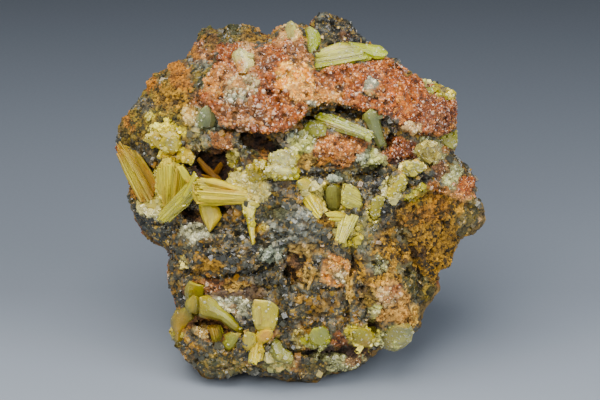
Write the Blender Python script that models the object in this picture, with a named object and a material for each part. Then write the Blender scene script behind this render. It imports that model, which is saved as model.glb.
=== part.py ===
"""A pyromorphite specimen: yellow-green prisms in pockets of an iron-stained matrix lump.

The lump stands on its flat broken base at z = 0, front towards -Y. Places on the
front are given the way a collector would point at them: u to the right and v down
in view units of 0.27 mm, as seen from in front and 20 degrees above, and w in
millimetres towards the viewer. place() turns these into the part's own frame.
"""

import math

import bmesh
import bpy
import numpy as np
from mathutils import Matrix, Vector

# ---------------------------------------------------------------- driving sizes
UNIT = 0.27  # mm in one view unit
EYE = 620.0  # mm from the viewer to the middle of the lump
TILT = math.radians(20.0)  # the viewer looks down by this much
LIFT = 44.0  # mm from the base to the view's centre
SHIFT = (-0.01, 1.0)  # mm, puts the box's centre over the origin
FRONT, BACK = 30.0, 30.0  # mm of rock in front of and behind the middle
CLEAR = 0.3  # mm between a crystal's root and its socket
LUMP_TRIANGLES = 4700

SIN, COS = math.sin(TILT), math.cos(TILT)


def place(u, v, w):
    """View place to the part's frame, in mm."""
    near = (EYE - w) / EYE
    x = (u - 300.0) * UNIT * near
    y = (200.0 - v) * UNIT * near
    return (
        x + SHIFT[0],
        y * SIN - w * COS + SHIFT[1],
        LIFT + y * COS + w * SIN,
    )


# ---------------------------------------------------------------- outline
OUTLINE = [
    (119, 129), (125, 121), (134, 110), (146, 94), (150, 89), (148, 83), (155, 76), (168, 70),
    (172, 65), (182, 62), (188, 58), (194, 47), (199, 42), (200, 34), (208, 30), (222, 29),
    (235, 25), (250, 27), (257, 33), (262, 37), (271, 37), (277, 29), (284, 27), (291, 26),
    (300, 27), (309, 29), (311, 22), (317, 16), (324, 13), (331, 18), (336, 24), (347, 26),
    (355, 36), (364, 39), (370, 47), (380, 56), (390, 59), (397, 63), (406, 69), (412, 75),
    (422, 80), (434, 83), (444, 88), (453, 96), (456, 103), (456, 133), (454, 146), (451, 153),
    (457, 160), (465, 167), (474, 178), (475, 199), (478, 204), (479, 217), (472, 227), (466, 232),
    (457, 237), (454, 245), (449, 253), (448, 264), (440, 267), (436, 272), (436, 289), (428, 301),
    (421, 305), (419, 314), (418, 326), (413, 335), (407, 342), (399, 349), (389, 350), (379, 347),
    (371, 350), (364, 358), (355, 365), (337, 370), (325, 373), (318, 377), (300, 376), (279, 377),
    (250, 375), (240, 375), (227, 379), (208, 378), (202, 374), (194, 365), (189, 361), (182, 354),
    (177, 346), (174, 334), (174, 322), (178, 310), (175, 298), (171, 288), (168, 277), (169, 263),
    (173, 258), (169, 250), (166, 245), (152, 235), (138, 221), (130, 204), (129, 197), (131, 186),
    (126, 172), (121, 158), (118, 146), (118, 137),
]

# ---------------------------------------------------------------- relief of the front, in mm
# the drusy shelf that runs across the top
SHELF = [
    (203, 84), (197, 97), (205, 108), (216, 117), (222, 125), (236, 127), (252, 132), (268, 134),
    (284, 131), (297, 124), (303, 117), (310, 106), (322, 103), (338, 104), (352, 108), (372, 112),
    (383, 116), (395, 124), (404, 130), (417, 134), (432, 136), (447, 134), (459, 128), (460, 101),
    (448, 88), (425, 80), (410, 74), (397, 63), (385, 58), (370, 60), (352, 64), (335, 68),
    (318, 72), (310, 66), (306, 50), (300, 30), (290, 25), (279, 28), (268, 42), (256, 48),
    (240, 46), (228, 48), (219, 56), (213, 66), (207, 74),
]
PLATES = [  # polygon, rise, softness
    (SHELF, 5.0, 4.0),
    # shoulder left of the shelf
    ([(150, 90), (172, 68), (196, 62), (204, 84), (198, 100), (206, 118), (196, 140), (160, 148), (130, 140), (120, 128)], 1.6, 6.0),
    # pocket in the left of the lump
    ([(190, 153), (205, 149), (222, 150), (236, 147), (241, 160), (236, 173), (228, 183), (214, 184), (204, 173), (194, 164)], -11.0, 4.0),
    # hollow under the shelf
    ([(240, 130), (258, 135), (275, 140), (281, 150), (270, 157), (255, 160), (246, 153), (241, 142)], -7.0, 4.0),
    # gap behind the left sheaf
    ([(139, 158), (150, 163), (158, 172), (158, 184), (150, 177), (142, 168)], -5.0, 3.0),
    # pocket in the middle
    ([(317, 186), (345, 184), (348, 191), (345, 208), (331, 214), (321, 208)], -7.5, 3.5),
    # pocket low on the left
    ([(190, 323), (204, 317), (222, 318), (237, 330), (232, 340), (214, 333), (200, 330)], -7.0, 3.5),
    # small pocket low on the right
    ([(366, 320), (375, 317), (380, 325), (377, 338), (371, 336)], -5.0, 3.0),
    # the spongy right flank stands a little back
    ([(380, 217), (396, 202), (430, 191), (470, 204), (484, 214), (470, 234), (452, 252), (446, 266), (436, 276), (421, 290), (404, 276), (388, 248)], -2.6, 6.0),
    # blocky dark plates on the left
    ([(168, 236), (196, 232), (240, 236), (262, 246), (256, 268), (212, 276), (178, 270), (166, 256)], 2.4, 4.0),
    # seat of the crystals at the top
    ([(314, 74), (318, 56), (330, 44), (352, 42), (388, 50), (392, 60), (352, 65), (330, 70)], -4.0, 3.0),
    # the dark lump at the very top stands behind them
    ([(311, 26), (316, 14), (332, 14), (348, 26), (360, 36), (372, 46), (350, 44), (330, 44), (318, 52)], -5.0, 4.0),
    # knob at the top left
    ([(198, 44), (200, 32), (222, 27), (250, 26), (266, 38), (244, 44), (222, 47), (206, 52)], -2.5, 4.0),
]
BLOBS = [  # u, v, half width, half height, turn in degrees, rise
    (303, 218, 34, 38, 10, 4.0),
    (268, 186, 20, 14, 20, 2.0),
    (290, 300, 42, 34, 0, 2.2),
    (385, 290, 30, 32, 0, 2.6),
    (245, 92, 26, 24, 0, 2.0),
    (300, 85, 26, 24, 0, 2.6),
    (390, 88, 34, 18, 12, 2.4),
    (436, 112, 20, 22, 0, 1.6),
    (330, 148, 40, 14, 6, 3.2),
    (425, 170, 26, 20, 0, 1.6),
    (452, 195, 20, 18, 30, 2.0),
    (206, 300, 26, 18, 0, 1.2),
    (262, 345, 40, 18, 0, 1.6),
    (330, 330, 30, 16, 0, 1.4),
    (396, 338, 18, 16, 0, 2.2),
    (160, 120, 22, 20, -40, 1.6),
    (178, 92, 18, 14, -30, 1.6),
    (150, 222, 22, 14, 35, 1.2),
    (210, 258, 30, 12, 0, 1.4),
    (300, 150, 16, 12, 0, 1.4),
    (216, 140, 22, 10, 0, 1.0),
]
STROKES = [  # points, half width, rise
    ([(300, 122), (322, 112), (348, 113), (372, 118)], 5.0, -3.6),
    ([(262, 178), (300, 176), (350, 171), (378, 166)], 4.0, -2.4),
    ([(352, 178), (372, 168), (398, 160), (426, 156)], 4.0, -2.2),
    ([(372, 206), (392, 192), (420, 182), (446, 172)], 4.0, -1.8),
    ([(384, 214), (402, 204), (428, 196)], 3.5, -1.6),
    ([(398, 230), (412, 252), (420, 276), (414, 298)], 7.0, -2.8),
    ([(352, 250), (350, 276), (344, 300), (348, 322)], 5.0, -2.0),
    ([(262, 352), (296, 352), (330, 350), (366, 346)], 4.5, -3.2),
    ([(186, 270), (214, 276), (250, 272), (276, 264)], 4.0, -2.2),
    ([(262, 262), (276, 243), (296, 240)], 4.0, 1.8),
    ([(276, 244), (280, 270), (288, 300)], 3.6, 1.8),
    ([(304, 246), (312, 274), (306, 300)], 3.6, 1.6),
    ([(190, 232), (220, 222), (246, 226)], 5.0, -1.6),
    ([(132, 202), (150, 222), (170, 246)], 5.0, 1.2),
    ([(176, 208), (196, 214), (226, 210)], 5.0, -3.0),
    ([(196, 62), (204, 52), (236, 46), (268, 42)], 4.0, -1.6),
    ([(205, 118), (222, 130), (240, 128)], 4.0, -2.2),
    ([(336, 226), (352, 244), (356, 268)], 5.0, -1.8),
]

# ---------------------------------------------------------------- crystals
# Each prism: root (u, v, rise), tip (u, v, rise), radii there in view units, flatness, roll.
# The rise is in mm from the smooth front of the lump. Prisms of one cluster grew together.
CLUSTERS = {
    "left_edge_sheaf": [
        ((144, 203, -2.5), (119, 147, 1), 4.8, 4.6, 1.0, 5),
        ((148, 202, -2.7), (124, 144, 0), 4.8, 5.0, 1.0, 21),
        ((152, 201, -2.6), (130, 149, 1), 4.8, 4.8, 1.0, 40),
        ((154, 198, -2.6), (134, 156, 1), 4.4, 4.2, 1.0, 12),
        ((156, 193, -3.6), (141, 163, -1.5), 3.8, 3.4, 1.0, 33),
        ((142, 201, -3.2), (118, 156, 1), 4.8, 4.4, 1.0, 50),
    ],
    "left_fan": [
        ((170, 213, -4), (161, 167, 2), 4.6, 5.2, 1.0, 8),
        ((173, 213, -3), (169, 164, 4), 4.6, 5.2, 1.0, 27),
        ((176, 211, -4), (177, 166, 3), 4.6, 5.2, 1.0, 44),
        ((180, 208, -5), (185, 173, 2), 4.4, 4.8, 1.0, 15),
        ((168, 212, -5), (159, 176, 0), 4.2, 4.2, 1.0, 36),
    ],
    "glossy_prism": [((197, 171, 2), (162, 221, 8), 3.0, 7.0, 0.9, 19)],
    "horizontal_fan": [
        ((241, 195, 0), (199, 183, 4), 3.0, 5.0, 1.0, 7),
        ((241, 198, 0), (199, 191, 5), 3.0, 5.0, 1.0, 31),
        ((241, 200, 0), (201, 200, 4), 3.0, 4.8, 1.0, 52),
        ((239, 193, -0.8), (202, 178, 2.4), 3.0, 4.6, 1.0, 23),
    ],
    "tooth_crystal": [((211, 203, -2), (209, 231, 2), 8.6, 3.2, 0.42, 0)],
    "upper_left_cluster": [
        ((175, 151, -4), (152, 138, 4), 6.2, 5.4, 1.0, 14),
        ((178, 151, -4), (168, 140, 6), 7.2, 6.6, 1.0, 33),
        ((180, 153, -4), (177, 151, 7), 8.2, 7.6, 1.0, 4),
        ((183, 151, -5), (190, 158, 4), 6.4, 5.6, 1.0, 48),
        ((171, 151, -5), (162, 157, 5), 5.6, 5.0, 1.0, 22),
    ],
    "pocket_blades": [
        ((224, 186, -9), (197, 158, -5), 2.4, 1.8, 0.7, 10),
        ((214, 184, -9), (219, 163, -6), 2.2, 1.6, 0.7, 35),
        ((222, 186, -9), (201, 176, -3), 2.6, 2.0, 0.7, 50),
    ],
    "slim_blade": [((248, 207, -1), (253, 243, 3), 5.0, 2.2, 0.7, 12)],
    "bright_centre_cluster": [
        ((283, 176, -4), (277, 159, 4), 9.0, 8.0, 1.0, 11),
        ((286, 173, -4), (291, 156, 4), 8.0, 7.4, 1.0, 37),
        ((275, 179, -4), (262, 167, 3), 7.2, 6.6, 1.0, 24),
        ((289, 178, -3), (285, 172, 5), 8.0, 7.2, 1.0, 52),
        ((262, 180, -4), (251, 167, 3), 6.4, 5.6, 1.0, 6),
    ],
    "druse_covered_crystal": [((307, 113, -3), (371, 139, 4), 8.0, 9.4, 0.72, 17)],
    "druse_flanked_crystal": [((320, 140, -4), (307, 127, 2), 7.0, 6.4, 1.0, 41)],
    "tall_green_crystal": [((385, 149, -4), (373, 110, 3), 7.0, 5.6, 1.0, 9)],
    "top_large_crystal": [
        ((318, 70, -5), (357, 53, 2), 12.0, 11.0, 0.85, 12),
        ((352, 61, -5), (386, 54, 20), 8.0, 6.6, 1.0, 37),
    ],
    "top_left_crystal": [((311, 62, -6), (314, 31, 4.6), 6.0, 5.6, 1.0, 14)],
    "pocket_yellow_crystal": [
        ((308, 190, -4), (316, 209, 4), 9.2, 8.0, 1.0, 20),
        ((307, 196, -4), (305, 184, 3), 7.0, 6.4, 1.0, 45),
    ],
    "pocket_green_crystal": [((333, 213, -9), (333, 191, -3), 8.6, 8.0, 1.0, 28)],
    "pocket_pale_fan": [
        ((365, 200, -3), (347, 193, 2), 6.2, 5.6, 1.0, 5),
        ((365, 207, -3), (348, 205, 3), 5.6, 5.2, 1.0, 29),
        ((357, 210, -2), (346, 238, 3), 7.6, 7.0, 1.0, 47),
    ],
    "pocket_bar": [((343, 219, -2), (322, 216, 2), 3.4, 2.8, 1.0, 18)],
    "right_edge_green": [((441, 143, -7), (451, 135, 1), 9.0, 8.2, 1.0, 13)],
    "druse_knob": [((430, 160, -6), (426, 153, 4), 12.0, 10.5, 1.0, 31)],
    "pale_tablet_group": [
        ((414, 177, -4), (408, 169, 3), 7.0, 6.2, 1.0, 9),
        ((416, 177, -4), (419, 171, 3), 6.6, 5.6, 1.0, 40),
    ],
    "diagonal_prism": [((385, 204, -3), (405, 178, 2), 6.0, 5.4, 1.0, 26)],
    "lower_diagonal_prism": [((371, 221, -4), (378, 197, 1), 5.2, 4.6, 1.0, 35)],
    "long_tapered_prism": [
        ((241, 336, -3), (194, 302, 3), 4.6, 8.4, 1.0, 16),
        ((197, 318, -4), (190, 285, 3), 7.0, 6.4, 1.0, 38),
        ((184, 348, -6), (180, 314, 1), 6.6, 6.6, 1.0, 7),
        ((200, 318, -4), (176, 326, 1), 6.0, 5.6, 1.0, 50),
    ],
    "pocket_curved_stack": [
        ((223, 358, -4), (213, 332, -3), 6.2, 5.0, 1.0, 22),
        ((230, 358, -4), (222, 333, -3), 6.2, 5.4, 1.0, 3),
        ((237, 360, -4), (233, 346, -1.5), 6.0, 5.2, 1.0, 44),
    ],
    "square_tablet": [((264, 315, -7), (264, 314, 3.5), 16.5, 15.5, 0.95, 12)],
    "lower_yellow_crystal": [
        ((263, 338, -4), (254, 364, 2), 10.0, 8.6, 1.0, 25),
        ((252, 337, -4), (250, 340, 2.5), 8.6, 8.0, 1.0, 5),
    ],
    "lower_green_crystal": [((283, 345, -4), (285, 360, 2), 9.6, 8.6, 1.0, 31)],
    "low_centre_pair": [
        ((315, 341, -4), (312, 338, 4), 8.2, 7.4, 1.0, 19),
        ((322, 339, -4), (325, 338, 4), 6.4, 5.8, 1.0, 46),
    ],
    "low_right_yellow": [((366, 342, -4), (363, 337, 3), 9.4, 8.6, 1.0, 14)],
    "low_right_green": [
        ((392, 342, -5), (389, 340, 3), 9.4, 8.6, 1.0, 33),
        ((402, 338, -5), (404, 335, 3), 9.4, 8.6, 1.0, 8),
    ],
    "grey_quartz_crystal": [((208, 124, -4), (206, 116, 4), 10.0, 9.0, 1.0, 27)],
    "white_quartz_crystal": [((243, 74, 0), (241, 57, 7), 8.0, 6.0, 1.0, 15)],
    "top_spike": [((291, 40, -4), (288, 24, 17.5), 4.6, 2.6, 1.0, 20)],
    "right_shoulder_crystal": [((431, 96, -5), (430, 84, 0), 6.2, 5.4, 1.0, 10)],
}

GREEN = (0.50, 0.52, 0.16)
COLOURS = {"matrix": (0.28, 0.19, 0.11)}


# ---------------------------------------------------------------- fields
def segment_distance(u, v, a, b):
    du, dv = b[0] - a[0], b[1] - a[1]
    t = np.clip(((u - a[0]) * du + (v - a[1]) * dv) / max(du * du + dv * dv, 1e-9), 0, 1)
    return np.hypot(u - a[0] - t * du, v - a[1] - t * dv)


def polygon_distance(u, v, points):
    """Distance to the polygon's edge, positive inside."""
    far = np.full(u.shape, 1e9)
    inside = np.zeros(u.shape, bool)
    for a, b in zip(points, points[1:] + points[:1]):
        far = np.minimum(far, segment_distance(u, v, a, b))
        crosses = ((a[1] > v) != (b[1] > v)) & (
            u < (b[0] - a[0]) * (v - a[1]) / (b[1] - a[1] + 1e-12) + a[0]
        )
        inside ^= crosses
    return np.where(inside, far, -far)


def step(x):
    x = np.clip(x, 0, 1)
    return x * x * (3 - 2 * x)


class Map:
    """A grid over the view that is read between its points."""

    def __init__(self, values, u0, v0, pitch):
        self.values, self.u0, self.v0, self.pitch = values, u0, v0, pitch

    def __call__(self, u, v):
        rows, columns = self.values.shape
        x = np.clip((u - self.u0) / self.pitch, 0, columns - 1.001)
        y = np.clip((v - self.v0) / self.pitch, 0, rows - 1.001)
        i, j = x.astype(int), y.astype(int)
        fx, fy = x - i, y - j
        g = self.values
        return (
            g[j, i] * (1 - fx) * (1 - fy)
            + g[j, i + 1] * fx * (1 - fy)
            + g[j + 1, i] * (1 - fx) * fy
            + g[j + 1, i + 1] * fx * fy
        )


def fullness_map(pitch=2.0):
    """0 on the outline and 1 in the middle, a membrane blown up inside the outline; negative outside."""
    u, v = np.meshgrid(np.arange(90, 512, pitch), np.arange(-8, 410, pitch))
    edge = polygon_distance(u, v, OUTLINE)
    coarse = 4
    h = np.zeros_like(edge[::coarse, ::coarse])
    for level in (4, 2, 1):
        e = edge[::level, ::level]
        if h.shape != e.shape:
            rows = np.linspace(0, h.shape[0] - 1, e.shape[0])
            columns = np.linspace(0, h.shape[1] - 1, e.shape[1])
            i, j = rows.astype(int).clip(0, h.shape[0] - 2), columns.astype(int).clip(0, h.shape[1] - 2)
            a, b = (rows - i)[:, None], (columns - j)[None]
            h = (
                h[i][:, j] * (1 - a) * (1 - b) + h[i + 1][:, j] * a * (1 - b)
                + h[i][:, j + 1] * (1 - a) * b + h[i + 1][:, j + 1] * a * b
            )
        inside, size = e > 0, level * pitch
        for _ in range(900 if level == 4 else 260):
            mean = np.zeros_like(h)
            mean[1:-1, 1:-1] = (h[:-2, 1:-1] + h[2:, 1:-1] + h[1:-1, :-2] + h[1:-1, 2:]) / 4
            h = np.where(inside, mean + size * size / 4, 0)
    h = h / h.max()
    # near the edge the membrane rises evenly, so the distance stands in for it there
    near = np.clip(edge, -40, 3.0) * 0.018
    h = np.where(edge < 3.0, np.minimum(h, 3.0 * 0.018) * (edge > 0) * 0.0 + near, np.maximum(h, 0.054))
    return Map(h, 90, -8, pitch)


def relief_map(pitch=1.0):
    u, v = np.meshgrid(np.arange(90, 512, pitch), np.arange(-8, 410, pitch))
    rise = np.zeros(u.shape)
    for points, height, soft in PLATES:
        rise += height * step((polygon_distance(u, v, points) + soft / 2) / soft)
    for cu, cv, ru, rv, turn, height in BLOBS:
        a = math.radians(turn)
        x, y = u - cu, v - cv
        x, y = (x * math.cos(a) + y * math.sin(a)) / ru, (-x * math.sin(a) + y * math.cos(a)) / rv
        rise += height * np.clip(1 - x * x - y * y, 0, None) ** 1.5
    for points, half, height in STROKES:
        d = np.full(u.shape, 1e9)
        for a, b in zip(points, points[1:]):
            d = np.minimum(d, segment_distance(u, v, a, b))
        rise += height * np.clip(1 - (d / half) ** 2, 0, None) ** 1.5
    return Map(rise, 90, -8, pitch)


FULL, RELIEF = fullness_map(), relief_map()


def rim_depth(v):
    """w of the outline: at the top it is the back edge, at the bottom the front edge."""
    return (v - 196.0) / 180.0 * 8.0


def front_height(v):
    return FRONT + 0.22 * (200.0 - v) * UNIT - rim_depth(v)


def back_height(v):
    return BACK - 0.22 * (200.0 - v) * UNIT + rim_depth(v)


def smooth_front(u, v):
    """w of the front with no relief on it."""
    return rim_depth(v) + front_height(v) * np.clip(FULL(u, v), 0, 1) ** 0.40


def inside(u, v, w):
    rim = rim_depth(v)
    w = w - RELIEF(u, v) * step((w - rim + 1.0) / 9.0)
    full = FULL(u, v)
    height = np.where(w > rim, front_height(v), back_height(v))
    return ((w - rim) / height) ** 2 < np.sign(full) * np.abs(full) ** 0.80


# ---------------------------------------------------------------- smooth noise
def hashed(i, j, k, seed):
    n = (i * 374761393 + j * 668265263 + k * 2147483647 + seed * 1274126177) & 0xFFFFFFFF
    n = ((n ^ (n >> 13)) * 1274126177) & 0xFFFFFFFF
    return ((n ^ (n >> 16)) & 0xFFFF) / 32767.5 - 1.0


def smooth_noise(p, cell, seed):
    q = p / cell + 100.0
    i = np.floor(q).astype(np.int64)
    f = q - i
    f = f * f * (3 - 2 * f)
    total = 0
    for a in (0, 1):
        for b in (0, 1):
            for c in (0, 1):
                share = (
                    (f[:, 0] if a else 1 - f[:, 0])
                    * (f[:, 1] if b else 1 - f[:, 1])
                    * (f[:, 2] if c else 1 - f[:, 2])
                )
                total = total + share * hashed(i[:, 0] + a, i[:, 1] + b, i[:, 2] + c, seed)
    return total


# ---------------------------------------------------------------- objects
def clear_scene():
    for obj in list(bpy.data.objects):
        bpy.data.objects.remove(obj, do_unlink=True)


def collection(name):
    made = bpy.data.collections.new(name)
    bpy.context.scene.collection.children.link(made)
    return made


def material(name, colour, roughness):
    made = bpy.data.materials.new(name)
    made.use_nodes = True
    shader = made.node_tree.nodes["Principled BSDF"]
    shader.inputs["Base Color"].default_value = (*colour, 1)
    shader.inputs["Roughness"].default_value = roughness
    shader.inputs["Metallic"].default_value = 0.0
    return made


def add(name, mesh, into, surface=None):
    obj = bpy.data.objects.new(name, mesh)
    if surface:
        mesh.materials.clear()
        mesh.materials.append(surface)
    into.objects.link(obj)
    return obj


def evaluated_mesh(obj):
    bpy.context.view_layer.update()
    graph = bpy.context.evaluated_depsgraph_get()
    return bpy.data.meshes.new_from_object(obj.evaluated_get(graph))


def largest_body(mesh):
    """Drops loose chips, keeping the biggest connected body."""
    bm = bmesh.new()
    bm.from_mesh(mesh)
    bmesh.ops.remove_doubles(bm, verts=bm.verts, dist=2e-6)
    bmesh.ops.dissolve_degenerate(bm, dist=1e-6, edges=bm.edges)
    unseen, bodies = set(bm.verts), []
    while unseen:
        stack, body = [unseen.pop()], []
        while stack:
            vert = stack.pop()
            body.append(vert)
            for edge in vert.link_edges:
                other = edge.other_vert(vert)
                if other in unseen:
                    unseen.remove(other)
                    stack.append(other)
        bodies.append(body)
    bodies.sort(key=len, reverse=True)
    for body in bodies[1:]:
        bmesh.ops.delete(bm, geom=body, context="VERTS")
    bmesh.ops.triangulate(bm, faces=bm.faces)
    bm.to_mesh(mesh)
    bm.free()
    return mesh


def lump_mesh():
    """An icosphere drawn out to the outline and the relief, then cut flat at the base."""
    bm = bmesh.new()
    bmesh.ops.create_icosphere(bm, subdivisions=6, radius=1.0)
    ball = np.array([vert.co for vert in bm.verts])
    centre = np.array([297.0, 205.0, -2.0])
    way = ball * np.array([185.0, -185.0, 40.0])  # u, v, w
    low, high = np.full(len(way), 0.05), np.full(len(way), 1.6)
    # walk in from outside to the first point of rock, then halve the gap
    found = np.zeros(len(way), bool)
    for t in np.linspace(1.6, 0.05, 240):
        p = centre + way * t
        hit = inside(p[:, 0], p[:, 1], p[:, 2]) & ~found
        low[hit], high[hit] = t, t + 1.55 / 239
        found |= hit
    for _ in range(14):
        middle = (low + high) / 2
        p = centre + way * middle[:, None]
        within = inside(p[:, 0], p[:, 1], p[:, 2])
        low, high = np.where(within, middle, low), np.where(within, high, middle)
    p = centre + way * low[:, None]
    points = np.stack(place(p[:, 0], p[:, 1], p[:, 2]), 1)
    for vert, co in zip(bm.verts, points):
        vert.co = co
    bm.normal_update()
    normals = np.array([vert.normal for vert in bm.verts])
    # broad lumps, stronger at the back and sides than on the front
    behind = step((rim_depth(p[:, 1]) + 6 - p[:, 2]) / 12)
    swell = 1.6 * smooth_noise(points, 17.0, 3) + 1.1 * smooth_noise(points, 8.5, 5)
    chips = 0.8 * smooth_noise(points, 4.2, 7)
    points = points + normals * (swell * (0.15 + 1.25 * behind) + chips * (0.45 + 0.8 * behind))[:, None]
    for vert, co in zip(bm.verts, points):
        vert.co = Vector(co) * 0.001
    mesh = bpy.data.meshes.new("lump")
    bm.to_mesh(mesh)
    bm.free()
    return mesh


def cut_base(mesh):
    bm = bmesh.new()
    bm.from_mesh(mesh)
    cut = bmesh.ops.bisect_plane(
        bm, geom=bm.verts[:] + bm.edges[:] + bm.faces[:], dist=1e-6,
        plane_co=(0, 0, 0), plane_no=(0, 0, 1), clear_inner=True,
    )
    rim = [e for e in cut["geom_cut"] if isinstance(e, bmesh.types.BMEdge)]
    bmesh.ops.triangle_fill(bm, edges=rim, use_beauty=True, normal=(0, 0, -1))
    bmesh.ops.recalc_face_normals(bm, faces=bm.faces)
    bm.to_mesh(mesh)
    bm.free()
    return mesh


def prism(spec, grow=0.0):
    """One six-sided prism from its root to its tip, grown all round by some mm."""
    (u0, v0, d0), (u1, v1, d1), r0, r1, flat, roll = spec
    ends = []
    for u, v, d in ((u0, v0, d0), (u1, v1, d1)):
        w = float(smooth_front(np.array([float(u)]), np.array([float(v)]))[0]) + d
        ends.append(Vector(place(u, v, w)))
    axis = ends[1] - ends[0]
    length = axis.length
    axis.normalize()
    view = Vector((0, -COS, SIN))
    across = view - axis * view.dot(axis)
    if across.length < 0.05:
        across = Vector((1, 0, 0)) - axis * axis.x
    across.normalize()
    third = across.cross(axis)
    bm = bmesh.new()
    bmesh.ops.create_cone(
        bm, cap_ends=True, segments=6,
        radius1=r0 * UNIT + grow, radius2=r1 * UNIT + grow, depth=length + 2 * grow,
    )
    bmesh.ops.rotate(bm, verts=bm.verts, cent=(0, 0, 0), matrix=Matrix.Rotation(math.radians(roll), 3, "Z"))
    middle = (ends[0] + ends[1]) / 2
    for vert in bm.verts:
        x, y, z = vert.co
        squeeze = flat if grow == 0 else flat + grow * (1 - flat) / (max(r0, r1) * UNIT)
        vert.co = (middle + third * x + across * y * squeeze + axis * z) * 0.001
    mesh = bpy.data.meshes.new("prism")
    bm.to_mesh(mesh)
    bm.free()
    return mesh


def grown_together(name, specs, parts, helpers, surface):
    """A cluster's prisms, joined in one solid."""
    first = add(name, prism(specs[0]), parts, surface)
    others = bpy.data.collections.new(name + "_others")
    helpers.children.link(others)
    for n, spec in enumerate(specs[1:]):
        other = add(f"{name}_prism_{n}", prism(spec), others)
        other.hide_render, other.display_type = True, "WIRE"
    if len(specs) > 1:
        union = first.modifiers.new("grown together", "BOOLEAN")
        union.operation, union.solver = "UNION", "EXACT"
        union.operand_type, union.collection = "COLLECTION", others
        joined = evaluated_mesh(first)
        first.modifiers.clear()
        first.data = largest_body(joined)
        first.data.materials.clear()
        first.data.materials.append(surface)
    return first


def main():
    clear_scene()
    parts, helpers = collection("pyromorphite_specimen"), collection("cutters")
    helpers.hide_render = True
    rock = material("matrix", COLOURS["matrix"], 0.85)
    crystal = material("pyromorphite", GREEN, 0.25)
    quartz = material("quartz", (0.62, 0.60, 0.55), 0.25)

    lump = add("lump", lump_mesh(), helpers)
    thin = lump.modifiers.new("fewer facets", "DECIMATE")
    thin.ratio = LUMP_TRIANGLES / len(lump.data.polygons)
    base = cut_base(largest_body(evaluated_mesh(lump)))
    bpy.data.objects.remove(lump)

    matrix = add("matrix", base, parts, rock)
    sockets = bpy.data.collections.new("sockets")
    helpers.children.link(sockets)
    for name, specs in CLUSTERS.items():
        for n, spec in enumerate(specs):
            cutter = add(f"socket_{name}_{n}", prism(spec, CLEAR), sockets)
            cutter.hide_render, cutter.display_type = True, "WIRE"
    cut = matrix.modifiers.new("sockets", "BOOLEAN")
    cut.operation, cut.solver = "DIFFERENCE", "EXACT"
    cut.operand_type, cut.collection = "COLLECTION", sockets
    socketed = largest_body(evaluated_mesh(matrix))
    matrix.modifiers.clear()
    matrix.data = socketed
    matrix.data.materials.clear()
    matrix.data.materials.append(rock)

    for name, specs in CLUSTERS.items():
        surface = quartz if "quartz" in name or name in ("top_spike", "druse_knob") else crystal
        grown_together(name, specs, parts, helpers, surface)


main()
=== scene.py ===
"""The looks of a pyromorphite specimen: druse, limonite and manganese oxide on the matrix, and striated crystals.

Places on the front are given as in the solid model: u to the right and v down in view
units of 0.27 mm, seen from in front and 20 degrees above, and w in mm towards the viewer.
"""

import math

import bmesh
import bpy
import numpy as np
import openvdb
from mathutils import Matrix, Vector


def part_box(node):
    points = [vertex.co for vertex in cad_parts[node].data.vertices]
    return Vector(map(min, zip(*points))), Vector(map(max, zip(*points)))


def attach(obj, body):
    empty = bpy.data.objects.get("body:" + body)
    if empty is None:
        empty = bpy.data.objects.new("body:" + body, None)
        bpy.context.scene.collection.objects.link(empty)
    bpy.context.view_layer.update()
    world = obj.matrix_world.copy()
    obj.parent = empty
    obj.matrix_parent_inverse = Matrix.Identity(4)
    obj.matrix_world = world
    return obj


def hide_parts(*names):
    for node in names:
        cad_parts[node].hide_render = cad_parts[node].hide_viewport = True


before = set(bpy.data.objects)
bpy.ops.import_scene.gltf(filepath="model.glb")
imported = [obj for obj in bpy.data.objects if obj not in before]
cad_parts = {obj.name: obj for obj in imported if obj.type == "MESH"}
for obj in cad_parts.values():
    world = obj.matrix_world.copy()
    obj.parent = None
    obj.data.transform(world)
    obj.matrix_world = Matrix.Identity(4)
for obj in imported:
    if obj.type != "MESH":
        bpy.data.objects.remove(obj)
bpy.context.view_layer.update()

# ================================================================ the view frame
UNIT = 0.27
EYE = 620.0
TILT = math.radians(20.0)
LIFT = 44.0
SHIFT = (-0.01, 1.0)
FRONT, BACK = 30.0, 30.0
SIN, COS = math.sin(TILT), math.cos(TILT)


def place(u, v, w):
    """View place to the part's frame, in mm."""
    near = (EYE - w) / EYE
    x = (u - 300.0) * UNIT * near
    y = (200.0 - v) * UNIT * near
    return np.stack([x + SHIFT[0], y * SIN - w * COS + SHIFT[1], LIFT + y * COS + w * SIN], -1)


def unplace(p):
    x, y, z = p[..., 0] - SHIFT[0], p[..., 1] - SHIFT[1], p[..., 2] - LIFT
    w = -y * COS + z * SIN
    up = y * SIN + z * COS
    near = (EYE - w) / EYE
    return 300.0 + x / (UNIT * near), 200.0 - up / (UNIT * near), w


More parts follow.
